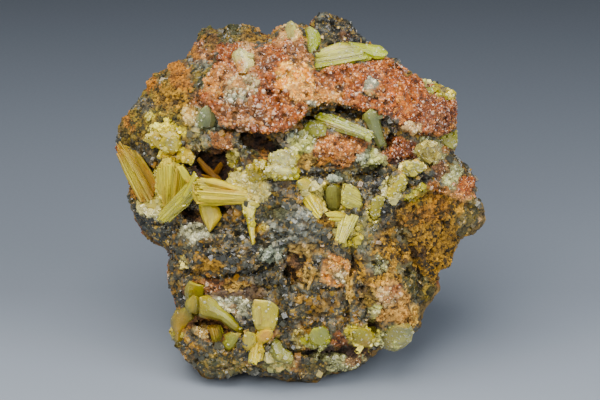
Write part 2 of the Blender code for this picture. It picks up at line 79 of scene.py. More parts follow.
# ================================================================ outline and relief
OUTLINE = [
    (119, 129), (125, 121), (134, 110), (146, 94), (150, 89), (148, 83), (155, 76), (168, 70),
    (172, 65), (182, 62), (188, 58), (194, 47), (199, 42), (200, 34), (208, 30), (222, 29),
    (235, 25), (250, 27), (257, 33), (262, 37), (271, 37), (277, 29), (284, 27), (291, 26),
    (300, 27), (309, 29), (311, 22), (317, 16), (324, 13), (331, 18), (336, 24), (347, 26),
    (355, 36), (364, 39), (370, 47), (380, 56), (390, 59), (397, 63), (406, 69), (412, 75),
    (422, 80), (434, 83), (444, 88), (453, 96), (456, 103), (456, 133), (454, 146), (451, 153),
    (457, 160), (465, 167), (474, 178), (475, 199), (478, 204), (479, 217), (472, 227), (466, 232),
    (457, 237), (454, 245), (449, 253), (448, 264), (440, 267), (436, 272), (436, 289), (428, 301),
    (421, 305), (419, 314), (418, 326), (413, 335), (407, 342), (399, 349), (389, 350), (379, 347),
    (371, 350), (364, 358), (355, 365), (337, 370), (325, 373), (318, 377), (300, 376), (279, 377),
    (250, 375), (240, 375), (227, 379), (208, 378), (202, 374), (194, 365), (189, 361), (182, 354),
    (177, 346), (174, 334), (174, 322), (178, 310), (175, 298), (171, 288), (168, 277), (169, 263),
    (173, 258), (169, 250), (166, 245), (152, 235), (138, 221), (130, 204), (129, 197), (131, 186),
    (126, 172), (121, 158), (118, 146), (118, 137),
]
SHELF = [
    (203, 84), (197, 97), (205, 108), (216, 117), (222, 125), (236, 127), (252, 132), (268, 134),
    (284, 131), (297, 124), (303, 117), (310, 106), (322, 103), (338, 104), (352, 108), (372, 112),
    (383, 116), (395, 124), (404, 130), (417, 134), (432, 136), (447, 134), (459, 128), (460, 101),
    (448, 88), (425, 80), (410, 74), (397, 63), (385, 58), (370, 60), (352, 64), (335, 68),
    (318, 72), (310, 66), (306, 50), (300, 30), (290, 25), (279, 28), (268, 42), (256, 48),
    (240, 46), (228, 48), (219, 56), (213, 66), (207, 74),
]
PLATES = [  # polygon, rise, softness
    (SHELF, 5.0, 4.0),
    ([(150, 90), (172, 68), (196, 62), (204, 84), (198, 100), (206, 118), (196, 140), (160, 148), (130, 140), (120, 128)], 1.6, 6.0),
    ([(190, 153), (205, 149), (222, 150), (236, 147), (241, 160), (236, 173), (228, 183), (214, 184), (204, 173), (194, 164)], -11.0, 4.0),
    ([(240, 130), (258, 135), (275, 140), (281, 150), (270, 157), (255, 160), (246, 153), (241, 142)], -7.0, 4.0),
    ([(139, 158), (150, 163), (158, 172), (158, 184), (150, 177), (142, 168)], -5.0, 3.0),
    ([(317, 186), (345, 184), (348, 191), (345, 208), (331, 214), (321, 208)], -7.5, 3.5),
    ([(190, 323), (204, 317), (222, 318), (237, 330), (232, 340), (214, 333), (200, 330)], -7.0, 3.5),
    ([(366, 320), (375, 317), (380, 325), (377, 338), (371, 336)], -5.0, 3.0),
    ([(380, 217), (396, 202), (430, 191), (470, 204), (484, 214), (470, 234), (452, 252), (446, 266), (436, 276), (421, 290), (404, 276), (388, 248)], -2.6, 6.0),
    ([(168, 236), (196, 232), (240, 236), (262, 246), (256, 268), (212, 276), (178, 270), (166, 256)], 2.4, 4.0),
    ([(314, 74), (318, 56), (330, 44), (352, 42), (388, 50), (392, 60), (352, 65), (330, 70)], -4.0, 3.0),
    ([(311, 26), (316, 14), (332, 14), (348, 26), (360, 36), (372, 46), (350, 44), (330, 44), (318, 52)], -5.0, 4.0),
    ([(198, 44), (200, 32), (222, 27), (250, 26), (266, 38), (244, 44), (222, 47), (206, 52)], -2.5, 4.0),
]
BLOBS = [  # u, v, half width, half height, turn in degrees, rise
    (303, 218, 34, 38, 10, 4.0), (268, 186, 20, 14, 20, 2.0), (290, 300, 42, 34, 0, 2.2),
    (385, 290, 30, 32, 0, 2.6), (245, 92, 26, 24, 0, 2.0), (300, 85, 26, 24, 0, 2.6),
    (390, 88, 34, 18, 12, 2.4), (436, 112, 20, 22, 0, 1.6), (330, 148, 40, 14, 6, 3.2),
    (425, 170, 26, 20, 0, 1.6), (452, 195, 20, 18, 30, 2.0), (206, 300, 26, 18, 0, 1.2),
    (262, 345, 40, 18, 0, 1.6), (330, 330, 30, 16, 0, 1.4), (396, 338, 18, 16, 0, 2.2),
    (160, 120, 22, 20, -40, 1.6), (178, 92, 18, 14, -30, 1.6), (150, 222, 22, 14, 35, 1.2),
    (210, 258, 30, 12, 0, 1.4), (300, 150, 16, 12, 0, 1.4), (216, 140, 22, 10, 0, 1.0),
]
STROKES = [  # points, half width, rise
    ([(300, 122), (322, 112), (348, 113), (372, 118)], 5.0, -3.6),
    ([(262, 178), (300, 176), (350, 171), (378, 166)], 4.0, -2.4),
    ([(352, 178), (372, 168), (398, 160), (426, 156)], 4.0, -2.2),
    ([(372, 206), (392, 192), (420, 182), (446, 172)], 4.0, -1.8),
    ([(384, 214), (402, 204), (428, 196)], 3.5, -1.6),
    ([(398, 230), (412, 252), (420, 276), (414, 298)], 7.0, -2.8),
    ([(352, 250), (350, 276), (344, 300), (348, 322)], 5.0, -2.0),
    ([(262, 352), (296, 352), (330, 350), (366, 346)], 4.5, -3.2),
    ([(186, 270), (214, 276), (250, 272), (276, 264)], 4.0, -2.2),
    ([(262, 262), (276, 243), (296, 240)], 4.0, 1.8),
    ([(276, 244), (280, 270), (288, 300)], 3.6, 1.8),
    ([(304, 246), (312, 274), (306, 300)], 3.6, 1.6),
    ([(190, 232), (220, 222), (246, 226)], 5.0, -1.6),
    ([(132, 202), (150, 222), (170, 246)], 5.0, 1.2),
    ([(176, 208), (196, 214), (226, 210)], 5.0, -3.0),
    ([(196, 62), (204, 52), (236, 46), (268, 42)], 4.0, -1.6),
    ([(205, 118), (222, 130), (240, 128)], 4.0, -2.2),
    ([(336, 226), (352, 244), (356, 268)], 5.0, -1.8),
]
# finer relief that only shows close up: cracks, septa, ledges
FINE_STROKES = [
    ([(190, 272), (205, 275), (230, 274), (252, 268), (262, 262)], 1.5, -2.4),
    ([(193, 256), (192, 266), (196, 272)], 1.8, 1.0),
    ([(194, 255), (215, 251), (240, 252), (258, 250)], 2.0, 1.1),
    ([(196, 273), (220, 275), (246, 271), (262, 264)], 2.2, 1.5),
    ([(232, 250), (254, 246), (276, 241), (296, 238)], 2.0, 1.2),
    ([(279, 256), (280, 276), (284, 300), (284, 326)], 2.4, 1.6),
    ([(288, 250), (300, 254), (306, 268), (304, 282)], 2.0, 1.4),
    ([(286, 262), (294, 272), (302, 283)], 1.6, -2.2),
    ([(347, 262), (347, 282), (345, 304)], 2.4, 1.5),
    ([(322, 288), (333, 291), (343, 286)], 1.6, -1.8),
    ([(262, 351), (290, 350), (318, 352), (345, 350), (366, 346)], 1.8, -3.2),
    ([(302, 356), (330, 358), (352, 352)], 1.6, -1.6),
    ([(214, 368), (240, 366), (262, 370)], 1.6, -1.6),
    ([(186, 286), (200, 283), (215, 289), (230, 286)], 1.5, -1.6),
    ([(210, 290), (232, 289), (252, 285)], 1.5, -1.3),
    ([(256, 284), (268, 288), (280, 284)], 1.5, -1.6),
    ([(168, 250), (180, 252), (186, 262), (184, 276)], 1.6, -1.5),
    ([(152, 224), (172, 226), (190, 224)], 1.8, -1.5),
    ([(212, 218), (222, 226), (226, 240)], 1.5, -1.4),
    ([(242, 214), (250, 226), (248, 240)], 1.5, -1.3),
    ([(258, 204), (270, 210), (284, 206)], 1.5, -1.2),
    ([(252, 232), (266, 238), (280, 232)], 1.5, -1.3),
    ([(352, 212), (356, 228), (352, 246)], 1.6, -1.5),
    ([(392, 212), (404, 222), (402, 240)], 1.6, -1.8),
    ([(412, 208), (420, 222), (414, 238), (424, 250)], 1.6, -1.8),
    ([(430, 214), (444, 222), (440, 236)], 1.6, -1.6),
    ([(372, 262), (384, 272), (380, 284)], 1.6, -1.6),
    ([(362, 282), (364, 300)], 1.8, -2.0),
    ([(362, 300), (368, 310), (364, 318)], 1.6, -1.8),
    ([(381, 302), (383, 312)], 1.5, -2.0),
    ([(155, 90), (166, 98), (182, 96)], 1.6, -1.2),
    ([(160, 104), (176, 100), (190, 104)], 1.6, -1.4),
    ([(190, 92), (200, 96), (202, 106)], 1.8, -1.8),
    ([(214, 52), (213, 64), (208, 74)], 1.6, -1.6),
    ([(222, 60), (226, 72), (218, 82)], 1.5, -1.2),
    ([(356, 92), (368, 95), (378, 99)], 1.6, -1.2),
    ([(262, 88), (274, 96), (282, 108)], 1.8, -1.1),
    ([(230, 112), (248, 114), (262, 122)], 1.8, -0.9),
    ([(332, 24), (342, 34), (356, 38)], 1.6, -1.4),
    ([(318, 30), (330, 34), (346, 42)], 1.6, -1.4),
    ([(300, 182), (306, 196), (300, 206)], 1.5, -1.0),
    ([(352, 184), (362, 192), (374, 196)], 1.4, -1.0),
    ([(424, 182), (440, 190), (452, 188)], 1.5, -1.1),
    ([(440, 160), (452, 170), (466, 176)], 1.5, -1.1),
    ([(396, 142), (408, 150), (414, 160)], 1.5, -1.4),
    ([(336, 160), (352, 164), (368, 160)], 1.5, -1.3),
    ([(306, 164), (322, 168), (340, 166)], 1.5, -1.2),
]
# rounded hollows with their middle this far behind the front: u, v, depth, half sizes in mm, turn
CAVES = [
    (217, 168, 7.0, 6.4, 4.4, 7.5, 14), (206, 160, 4.0, 3.6, 2.6, 6.0, 20), (230, 157, 5.0, 3.0, 2.8, 5.0, 0),
    (260, 144, 6.5, 5.2, 2.5, 6.0, 8), (246, 136, 5.0, 2.6, 2.0, 5.0, 30), (274, 148, 5.0, 2.4, 1.8, 4.6, 0),
    (150, 171, 4.0, 1.9, 3.2, 4.6, -30), (333, 197, 6.0, 4.2, 3.7, 5.6, 0), (316, 118, 4.0, 5.2, 1.6, 5.0, 16),
    (345, 110, 5.0, 4.0, 1.3, 5.0, 4), (212, 326, 6.0, 5.2, 2.0, 6.5, 12), (372, 327, 4.5, 1.4, 2.5, 5.0, -20),
    (192, 214, 3.4, 4.6, 1.6, 4.0, 8), (222, 211, 3.0, 2.0, 1.6, 3.6, 0), (364, 175, 2.6, 3.6, 1.3, 3.6, -6),
    (376, 172, 2.6, 1.6, 1.6, 3.2, 0), (315, 74, 3.4, 1.3, 3.0, 4.0, 30), (322, 62, 3.0, 1.6, 2.6, 4.0, 40),
    (318, 353, 3.2, 7.5, 1.1, 4.4, 0), (290, 276, 2.4, 2.2, 3.4, 3.2, -30), (402, 250, 2.0, 1.6, 2.4, 2.8, 0),
    (410, 272, 2.2, 1.8, 2.2, 3.0, 20), (398, 226, 1.6, 1.2, 1.6, 2.4, 0), (188, 164, 3.0, 1.8, 1.4, 3.0, 20),
    (390, 140, 2.6, 1.4, 2.6, 3.0, 20), (168, 176, 2.6, 1.0, 1.6, 3.0, 0),
]


def segment_distance(u, v, a, b):
    du, dv = b[0] - a[0], b[1] - a[1]
    t = np.clip(((u - a[0]) * du + (v - a[1]) * dv) / max(du * du + dv * dv, 1e-9), 0, 1)
    return np.hypot(u - a[0] - t * du, v - a[1] - t * dv)


def polygon_distance(u, v, points):
    far = np.full(u.shape, 1e9)
    within = np.zeros(u.shape, bool)
    for a, b in zip(points, points[1:] + points[:1]):
        far = np.minimum(far, segment_distance(u, v, a, b))
        within ^= ((a[1] > v) != (b[1] > v)) & (
            u < (b[0] - a[0]) * (v - a[1]) / (b[1] - a[1] + 1e-12) + a[0]
        )
    return np.where(within, far, -far)


def step(x):
    x = np.clip(x, 0, 1)
    return x * x * (3 - 2 * x)


class Map:
    """A grid over the view that is read between its points."""

    def __init__(self, values, u0, v0, pitch):
        self.values, self.u0, self.v0, self.pitch = values, u0, v0, pitch

    def __call__(self, u, v):
        rows, columns = self.values.shape
        x = np.clip((u - self.u0) / self.pitch, 0, columns - 1.001)
        y = np.clip((v - self.v0) / self.pitch, 0, rows - 1.001)
        i, j = x.astype(int), y.astype(int)
        fx, fy = x - i, y - j
        g = self.values
        return (
            g[j, i] * (1 - fx) * (1 - fy) + g[j, i + 1] * fx * (1 - fy)
            + g[j + 1, i] * (1 - fx) * fy + g[j + 1, i + 1] * fx * fy
        )


def fullness_map(pitch=2.0):
    """0 on the outline and 1 in the middle, a membrane blown up inside the outline; negative outside."""
    u, v = np.meshgrid(np.arange(90, 512, pitch), np.arange(-8, 410, pitch))
    edge = polygon_distance(u, v, OUTLINE)
    h = np.zeros_like(edge[::4, ::4])
    for level in (4, 2, 1):
        e = edge[::level, ::level]
        if h.shape != e.shape:
            rows = np.linspace(0, h.shape[0] - 1, e.shape[0])
            columns = np.linspace(0, h.shape[1] - 1, e.shape[1])
            i, j = rows.astype(int).clip(0, h.shape[0] - 2), columns.astype(int).clip(0, h.shape[1] - 2)
            a, b = (rows - i)[:, None], (columns - j)[None]
            h = (
                h[i][:, j] * (1 - a) * (1 - b) + h[i + 1][:, j] * a * (1 - b)
                + h[i][:, j + 1] * (1 - a) * b + h[i + 1][:, j + 1] * a * b
            )
        inside, size = e > 0, level * pitch
        for _ in range(900 if level == 4 else 260):
            mean = np.zeros_like(h)
            mean[1:-1, 1:-1] = (h[:-2, 1:-1] + h[2:, 1:-1] + h[1:-1, :-2] + h[1:-1, 2:]) / 4
            h = np.where(inside, mean + size * size / 4, 0)
    h = h / h.max()
    near = np.clip(edge, -40, 3.0) * 0.018
    h = np.where(edge < 3.0, near, np.maximum(h, 0.054))
    return Map(h, 90, -8, pitch)


def relief_map(pitch=1.0, fine=False):
    u, v = np.meshgrid(np.arange(90, 512, pitch), np.arange(-8, 410, pitch))
    rise = np.zeros(u.shape)
    for points, height, soft in PLATES:
        if fine and height < -4.5:
            height *= 0.35  # the caves below cut these hollows
        rise += height * step((polygon_distance(u, v, points) + soft / 2) / soft)
    for cu, cv, ru, rv, turn, height in BLOBS:
        a = math.radians(turn)
        x, y = u - cu, v - cv
        x, y = (x * math.cos(a) + y * math.sin(a)) / ru, (-x * math.sin(a) + y * math.cos(a)) / rv
        rise += height * np.clip(1 - x * x - y * y, 0, None) ** 1.5
    for points, half, height in STROKES + (FINE_STROKES if fine else []):
        d = np.full(u.shape, 1e9)
        for a, b in zip(points, points[1:]):
            d = np.minimum(d, segment_distance(u, v, a, b))
        rise += height * np.clip(1 - (d / half) ** 2, 0, None) ** 1.5
    return Map(rise, 90, -8, pitch)


FULL, RELIEF, FINE = fullness_map(), relief_map(), relief_map(0.5, True)


def rim_depth(v):
    return (v - 196.0) / 180.0 * 8.0


def front_height(v):
    return FRONT + 0.22 * (200.0 - v) * UNIT - rim_depth(v)


def back_height(v):
    return BACK - 0.22 * (200.0 - v) * UNIT + rim_depth(v)


def smooth_front(u, v):
    return rim_depth(v) + front_height(v) * np.clip(FULL(u, v), 0, 1) ** 0.40


# ================================================================ noise
LOW, HIGH = np.array([-60.0, -44.0, -8.0]), np.array([60.0, 44.0, 100.0])


class Lattice:
    """Smooth noise from -1 to 1 with one value per cell corner."""

    def __init__(self, cell, seed):
        self.cell = np.asarray(cell, float) * np.ones(3)
        dims = ((HIGH - LOW) / self.cell).astype(int) + 5
        self.values = np.random.default_rng(seed).uniform(-1, 1, dims).astype(np.float32)

    def __call__(self, p):
        q = (np.clip(p, LOW, HIGH) - LOW) / self.cell + 1.0
        i = q.astype(np.int32)
        f = (q - i).astype(np.float32)
        f = f * f * (3 - 2 * f)
        g = self.values
        total = 0
        for a in (0, 1):
            fa = f[..., 0] if a else 1 - f[..., 0]
            for b in (0, 1):
                fb = f[..., 1] if b else 1 - f[..., 1]
                for c in (0, 1):
                    fc = f[..., 2] if c else 1 - f[..., 2]
                    total = total + fa * fb * fc * g[i[..., 0] + a, i[..., 1] + b, i[..., 2] + c]
        return total


def clouds(p, cell, seed, octaves=3, fall=0.5):
    total, size = 0, 1.0
    for n in range(octaves):
        total = total + size * Lattice(cell / 2**n, seed * 17 + n)(p)
        size *= fall
    return total


def cells(p, cell, seed):
    """Distance to the nearest and second nearest scattered point, and that point's number and offset."""
    cell = np.asarray(cell, float) * np.ones(3)
    dims = ((HIGH - LOW) / cell).astype(int) + 5
    jitter = np.random.default_rng(seed).uniform(0, 1, (*dims, 3)).astype(np.float32)
    q = ((np.clip(p, LOW, HIGH) - LOW) / cell + 2.0).astype(np.float32)
    base = q.astype(np.int32)
    first = np.full(len(p), 9e9, np.float32)
    second = first.copy()
    number = np.zeros(len(p), np.int64)
    offset = np.zeros((len(p), 3), np.float32)
    for a in (-1, 0, 1):
        for b in (-1, 0, 1):
            for c in (-1, 0, 1):
                i = base + np.array([a, b, c], np.int32)
                i = np.clip(i, 0, np.array(dims) - 1)
                spot = i + jitter[i[:, 0], i[:, 1], i[:, 2]]
                way = q - spot
                d = (way * way).sum(1)
                closer = d < first
                second = np.where(closer, first, np.minimum(second, d))
                first = np.where(closer, d, first)
                code = (i[:, 0] * dims[1] + i[:, 1]) * dims[2] + i[:, 2]
                number = np.where(closer, code, number)
                offset = np.where(closer[:, None], way, offset)
    return np.sqrt(first), np.sqrt(second), number, offset * cell


def hashed(i, j, k, seed):
    n = (i * 374761393 + j * 668265263 + k * 2147483647 + seed * 1274126177) & 0xFFFFFFFF
    n = ((n ^ (n >> 13)) * 1274126177) & 0xFFFFFFFF
    return ((n ^ (n >> 16)) & 0xFFFF) / 32767.5 - 1.0


def smooth_noise(p, cell, seed):
    """The same broad lumps as the solid's."""
    q = p / cell + 100.0
    i = np.floor(q).astype(np.int64)
    f = q - i
    f = f * f * (3 - 2 * f)
    total = 0
    for a in (0, 1):
        for b in (0, 1):
            for c in (0, 1):
                share = (
                    (f[:, 0] if a else 1 - f[:, 0]) * (f[:, 1] if b else 1 - f[:, 1]) * (f[:, 2] if c else 1 - f[:, 2])
                )
                total = total + share * hashed(i[:, 0] + a, i[:, 1] + b, i[:, 2] + c, seed)
    return total


def number_noise(number, seed):
    """A fixed value from 0 to 1 for each number."""
    return np.random.default_rng(seed).uniform(0, 1, 65536)[(number * 7919 + seed * 104729) % 65536]


# ================================================================ the matrix as a field
def matrix_mesh(voxel):
    """Points (mm) and quads of the matrix, with caves under the shelf and in the pockets."""
    low = np.array([-53.5, -36.0, -2.0])
    high = np.array([53.5, 36.0, 94.5])
    counts = np.ceil((high - low) / voxel).astype(int)
    axes = [low[n] + voxel * np.arange(counts[n]) for n in range(3)]
    x, y, z = np.meshgrid(*axes, indexing="ij")
    p = np.stack([x, y, z], -1).astype(np.float32)
    u, v, w = unplace(p)
    rim = rim_depth(v)
    full = FULL(u, v)
    bump = FINE(u, v) * step((w - rim + 1.0) / 9.0)
    lifted = w - bump
    height = np.where(lifted > rim, front_height(v), back_height(v))
    f = ((lifted - rim) / height) ** 2 - np.sign(full) * np.abs(full) ** 0.80
    grad = np.gradient(f, voxel)
    size = np.sqrt(grad[0] ** 2 + grad[1] ** 2 + grad[2] ** 2)
    f = (f / np.maximum(size, 0.012)).astype(np.float32)
    near = np.abs(f) < 6.0
    q, un, vn, wn = p[near].astype(float), u[near], v[near], w[near]
    g = f[near].astype(float)
    behind = step((rim_depth(vn) + 6 - wn) / 12)
    swell = 1.6 * smooth_noise(q, 17.0, 3) + 1.1 * smooth_noise(q, 8.5, 5)
    chips = 0.8 * smooth_noise(q, 4.2, 7)
    g -= swell * (0.15 + 1.25 * behind) + chips * (0.45 + 0.8 * behind)
    # rough middle scale
    g -= 0.55 * Lattice(2.6, 21)(q) + 0.30 * Lattice(1.4, 22)(q)
    # caves, with ragged walls
    ragged = 0.9 * Lattice(2.2, 31)(q) + 0.5 * Lattice(1.1, 32)(q)
    front = smooth_front(un, vn)
    for cu, cv, depth, ru, rv, rw, turn in CAVES:
        a = math.radians(turn)
        dx, dy = (un - cu) * UNIT, (vn - cv) * UNIT
        ex, ey = dx * math.cos(a) + dy * math.sin(a), -dx * math.sin(a) + dy * math.cos(a)
        ez = wn - (float(smooth_front(np.array([float(cu)]), np.array([float(cv)]))[0]) - depth + float(RELIEF(np.array([float(cu)]), np.array([float(cv)]))[0]) * 0.2)
        d = np.sqrt((ex / ru) ** 2 + (ey / rv) ** 2 + (ez / rw) ** 2)
        # open towards the viewer
        d = np.where(ez > 0, np.sqrt((ex / ru) ** 2 + (ey / rv) ** 2 + (ez / (rw * 2.2)) ** 2), d)
        g = np.maximum(g, (1.0 - d) * min(ru, rv, rw) + ragged * 0.5)
    # the rock leaves the crystals' fronts free
    for shapes in SHAPES.values():
        for outline, (u0, v0, d0), (u1, v1, d1), thick, *_ in shapes:
            ends = np.array([[u0, v0], [u1, v1]], float)
            w0, w1 = smooth_front(ends[:, 0], ends[:, 1]) + np.array([d0, d1])
            corners = np.array(outline, float)
            least, most = corners.min(0) - 3, corners.max(0) + 3
            here = np.flatnonzero((un > least[0]) & (un < most[0]) & (vn > least[1]) & (vn < most[1]))
            du, dv = u1 - u0, v1 - v0
            t = np.clip(((un[here] - u0) * du + (vn[here] - v0) * dv) / (du * du + dv * dv), -0.1, 1.1)
            side = (polygon_distance(un[here], vn[here], outline) + 0.1) * UNIT
            ahead = wn[here] - (w0 + (w1 - w0) * t) - 0.25 * thick
            g[here] = np.maximum(g[here], np.minimum(side, ahead) + 0.22 * ragged[here])
    f[near] = g
    f = np.maximum(f, -z.astype(np.float32))  # the flat broken base
    grid = openvdb.FloatGrid(background=8.0)
    grid.copyFromArray(np.ascontiguousarray(np.clip(f, -8.0, 8.0)), tolerance=0.0)
    points, quads = grid.convertToQuads(isovalue=0.0)
    points = np.asarray(points, float) * voxel + low
    return points, np.asarray(quads, np.int64)


def tidy(points, faces):
    """Keeps the biggest connected body, in a fixed order of points."""
    count = len(points)
    label = np.arange(count)
    a = faces.ravel()
    b = np.roll(faces, -1, axis=1).ravel()
    while True:
        low = np.minimum(label[a], label[b])
        new = label.copy()
        np.minimum.at(new, a, low)
        np.minimum.at(new, b, low)
        new = new[new]
        new = new[new]
        if (new == label).all():
            break
        label = new
    main = np.bincount(label, minlength=count).argmax()
    faces = faces[label[faces[:, 0]] == main]
    used = np.unique(faces)
    rank = np.lexsort(np.round(points[used], 4).T)
    order = used[rank]
    new_index = np.full(count, -1)
    new_index[order] = np.arange(len(order))
    faces = new_index[faces]
    start = faces.argmin(axis=1)
    faces = faces[np.arange(len(faces))[:, None], (start[:, None] + np.arange(faces.shape[1])) % faces.shape[1]]
    faces = faces[np.lexsort(faces.T[::-1])]
    return points[order], faces


def point_normals(points, faces):
    a, b, c = points[faces[:, 0]], points[faces[:, 1]], points[faces[:, 2]]
    if faces.shape[1] == 4:
        n = np.cross(c - a, points[faces[:, 3]] - b)
    else:
        n = np.cross(b - a, c - a)
    total = np.zeros_like(points)
    for k in range(faces.shape[1]):
        np.add.at(total, faces[:, k], n)
    return total / np.maximum(np.linalg.norm(total, axis=1, keepdims=True), 1e-12)


# ================================================================ looks of the rock, by place
# kind, main colour, second colour (sRGB 0 to 255), share of the second
DRUSE, BLACK, OCHRE, PALE, CRUST = range(5)
LOOKS = {
    "blackochre": (BLACK, (62, 63, 60), (134, 102, 38), 0.32),
    "black": (BLACK, (48, 50, 53), (84, 88, 88), 0.40),
    "steel": (BLACK, (84, 89, 94), (142, 146, 148), 0.38),
    "greydark": (BLACK, (82, 84, 72), (128, 122, 88), 0.40),
    "olive": (OCHRE, (70, 71, 42), (122, 98, 40), 0.34),
    "olivedark": (BLACK, (62, 64, 46), (106, 92, 46), 0.36),
    # painted shade: a very dark brown laid in the hollows and crevices, where shade falls
    "crevice_shade": (OCHRE, (40, 26, 14), (74, 48, 22), 0.30),
    "brown": (OCHRE, (92, 60, 28), (140, 100, 48), 0.40),
    "limonite": (OCHRE, (160, 124, 36), (50, 42, 20), 0.44),
    "gold": (OCHRE, (152, 118, 34), (82, 64, 28), 0.38),
    "brightorange": (OCHRE, (170, 116, 30), (120, 80, 26), 0.40),
    "orangeochre": (OCHRE, (150, 102, 38), (82, 66, 32), 0.42),
    "oliveochre": (OCHRE, (112, 96, 40), (58, 55, 32), 0.44),
    "ochrecream": (OCHRE, (190, 160, 100), (140, 106, 50), 0.36),
    "rust": (DRUSE, (134, 74, 40), (184, 122, 78), 0.40),
    "rustochre": (DRUSE, (138, 86, 42), (176, 128, 76), 0.42),
    "orange": (DRUSE, (160, 90, 44), (204, 142, 88), 0.38),
    "darkred": (DRUSE, (104, 60, 42), (152, 102, 74), 0.36),
    "pinkbrown": (DRUSE, (126, 84, 56), (170, 126, 92), 0.40),
    "pinkgrains": (DRUSE, (124, 82, 54), (166, 124, 88), 0.42),
    "pink": (DRUSE, (146, 98, 66), (186, 140, 102), 0.42),
    "peach": (DRUSE, (190, 130, 72), (220, 176, 118), 0.44),
    "peachwhite": (PALE, (226, 180, 106), (204, 134, 64), 0.46),
    "orangepink": (DRUSE, (160, 100, 58), (194, 140, 92), 0.44),
    "white": (PALE, (188, 180, 152), (136, 108, 80), 0.48),
    "whitegrey": (PALE, (190, 190, 172), (150, 152, 140), 0.40),
    "cream": (PALE, (214, 194, 148), (184, 148, 86), 0.40),
    "creamyellow": (PALE, (218, 206, 142), (196, 174, 92), 0.40),
    "greyquartz": (PALE, (140, 150, 146), (196, 204, 200), 0.34),
    "pinkwhite": (PALE, (190, 166, 132), (154, 116, 84), 0.44),
    "greygreen": (PALE, (142, 144, 112), (176, 178, 140), 0.40),
    "palegreen": (CRUST, (170, 174, 118), (206, 206, 164), 0.42),
    "yellowgreen": (CRUST, (190, 178, 76), (214, 204, 124), 0.42),
    "greenyellow": (CRUST, (152, 152, 60), (190, 186, 96), 0.40),
    "stone": (OCHRE, (128, 108, 74), (90, 78, 54), 0.40),
    "tan": (OCHRE, (188, 150, 98), (146, 108, 62), 0.42),
}
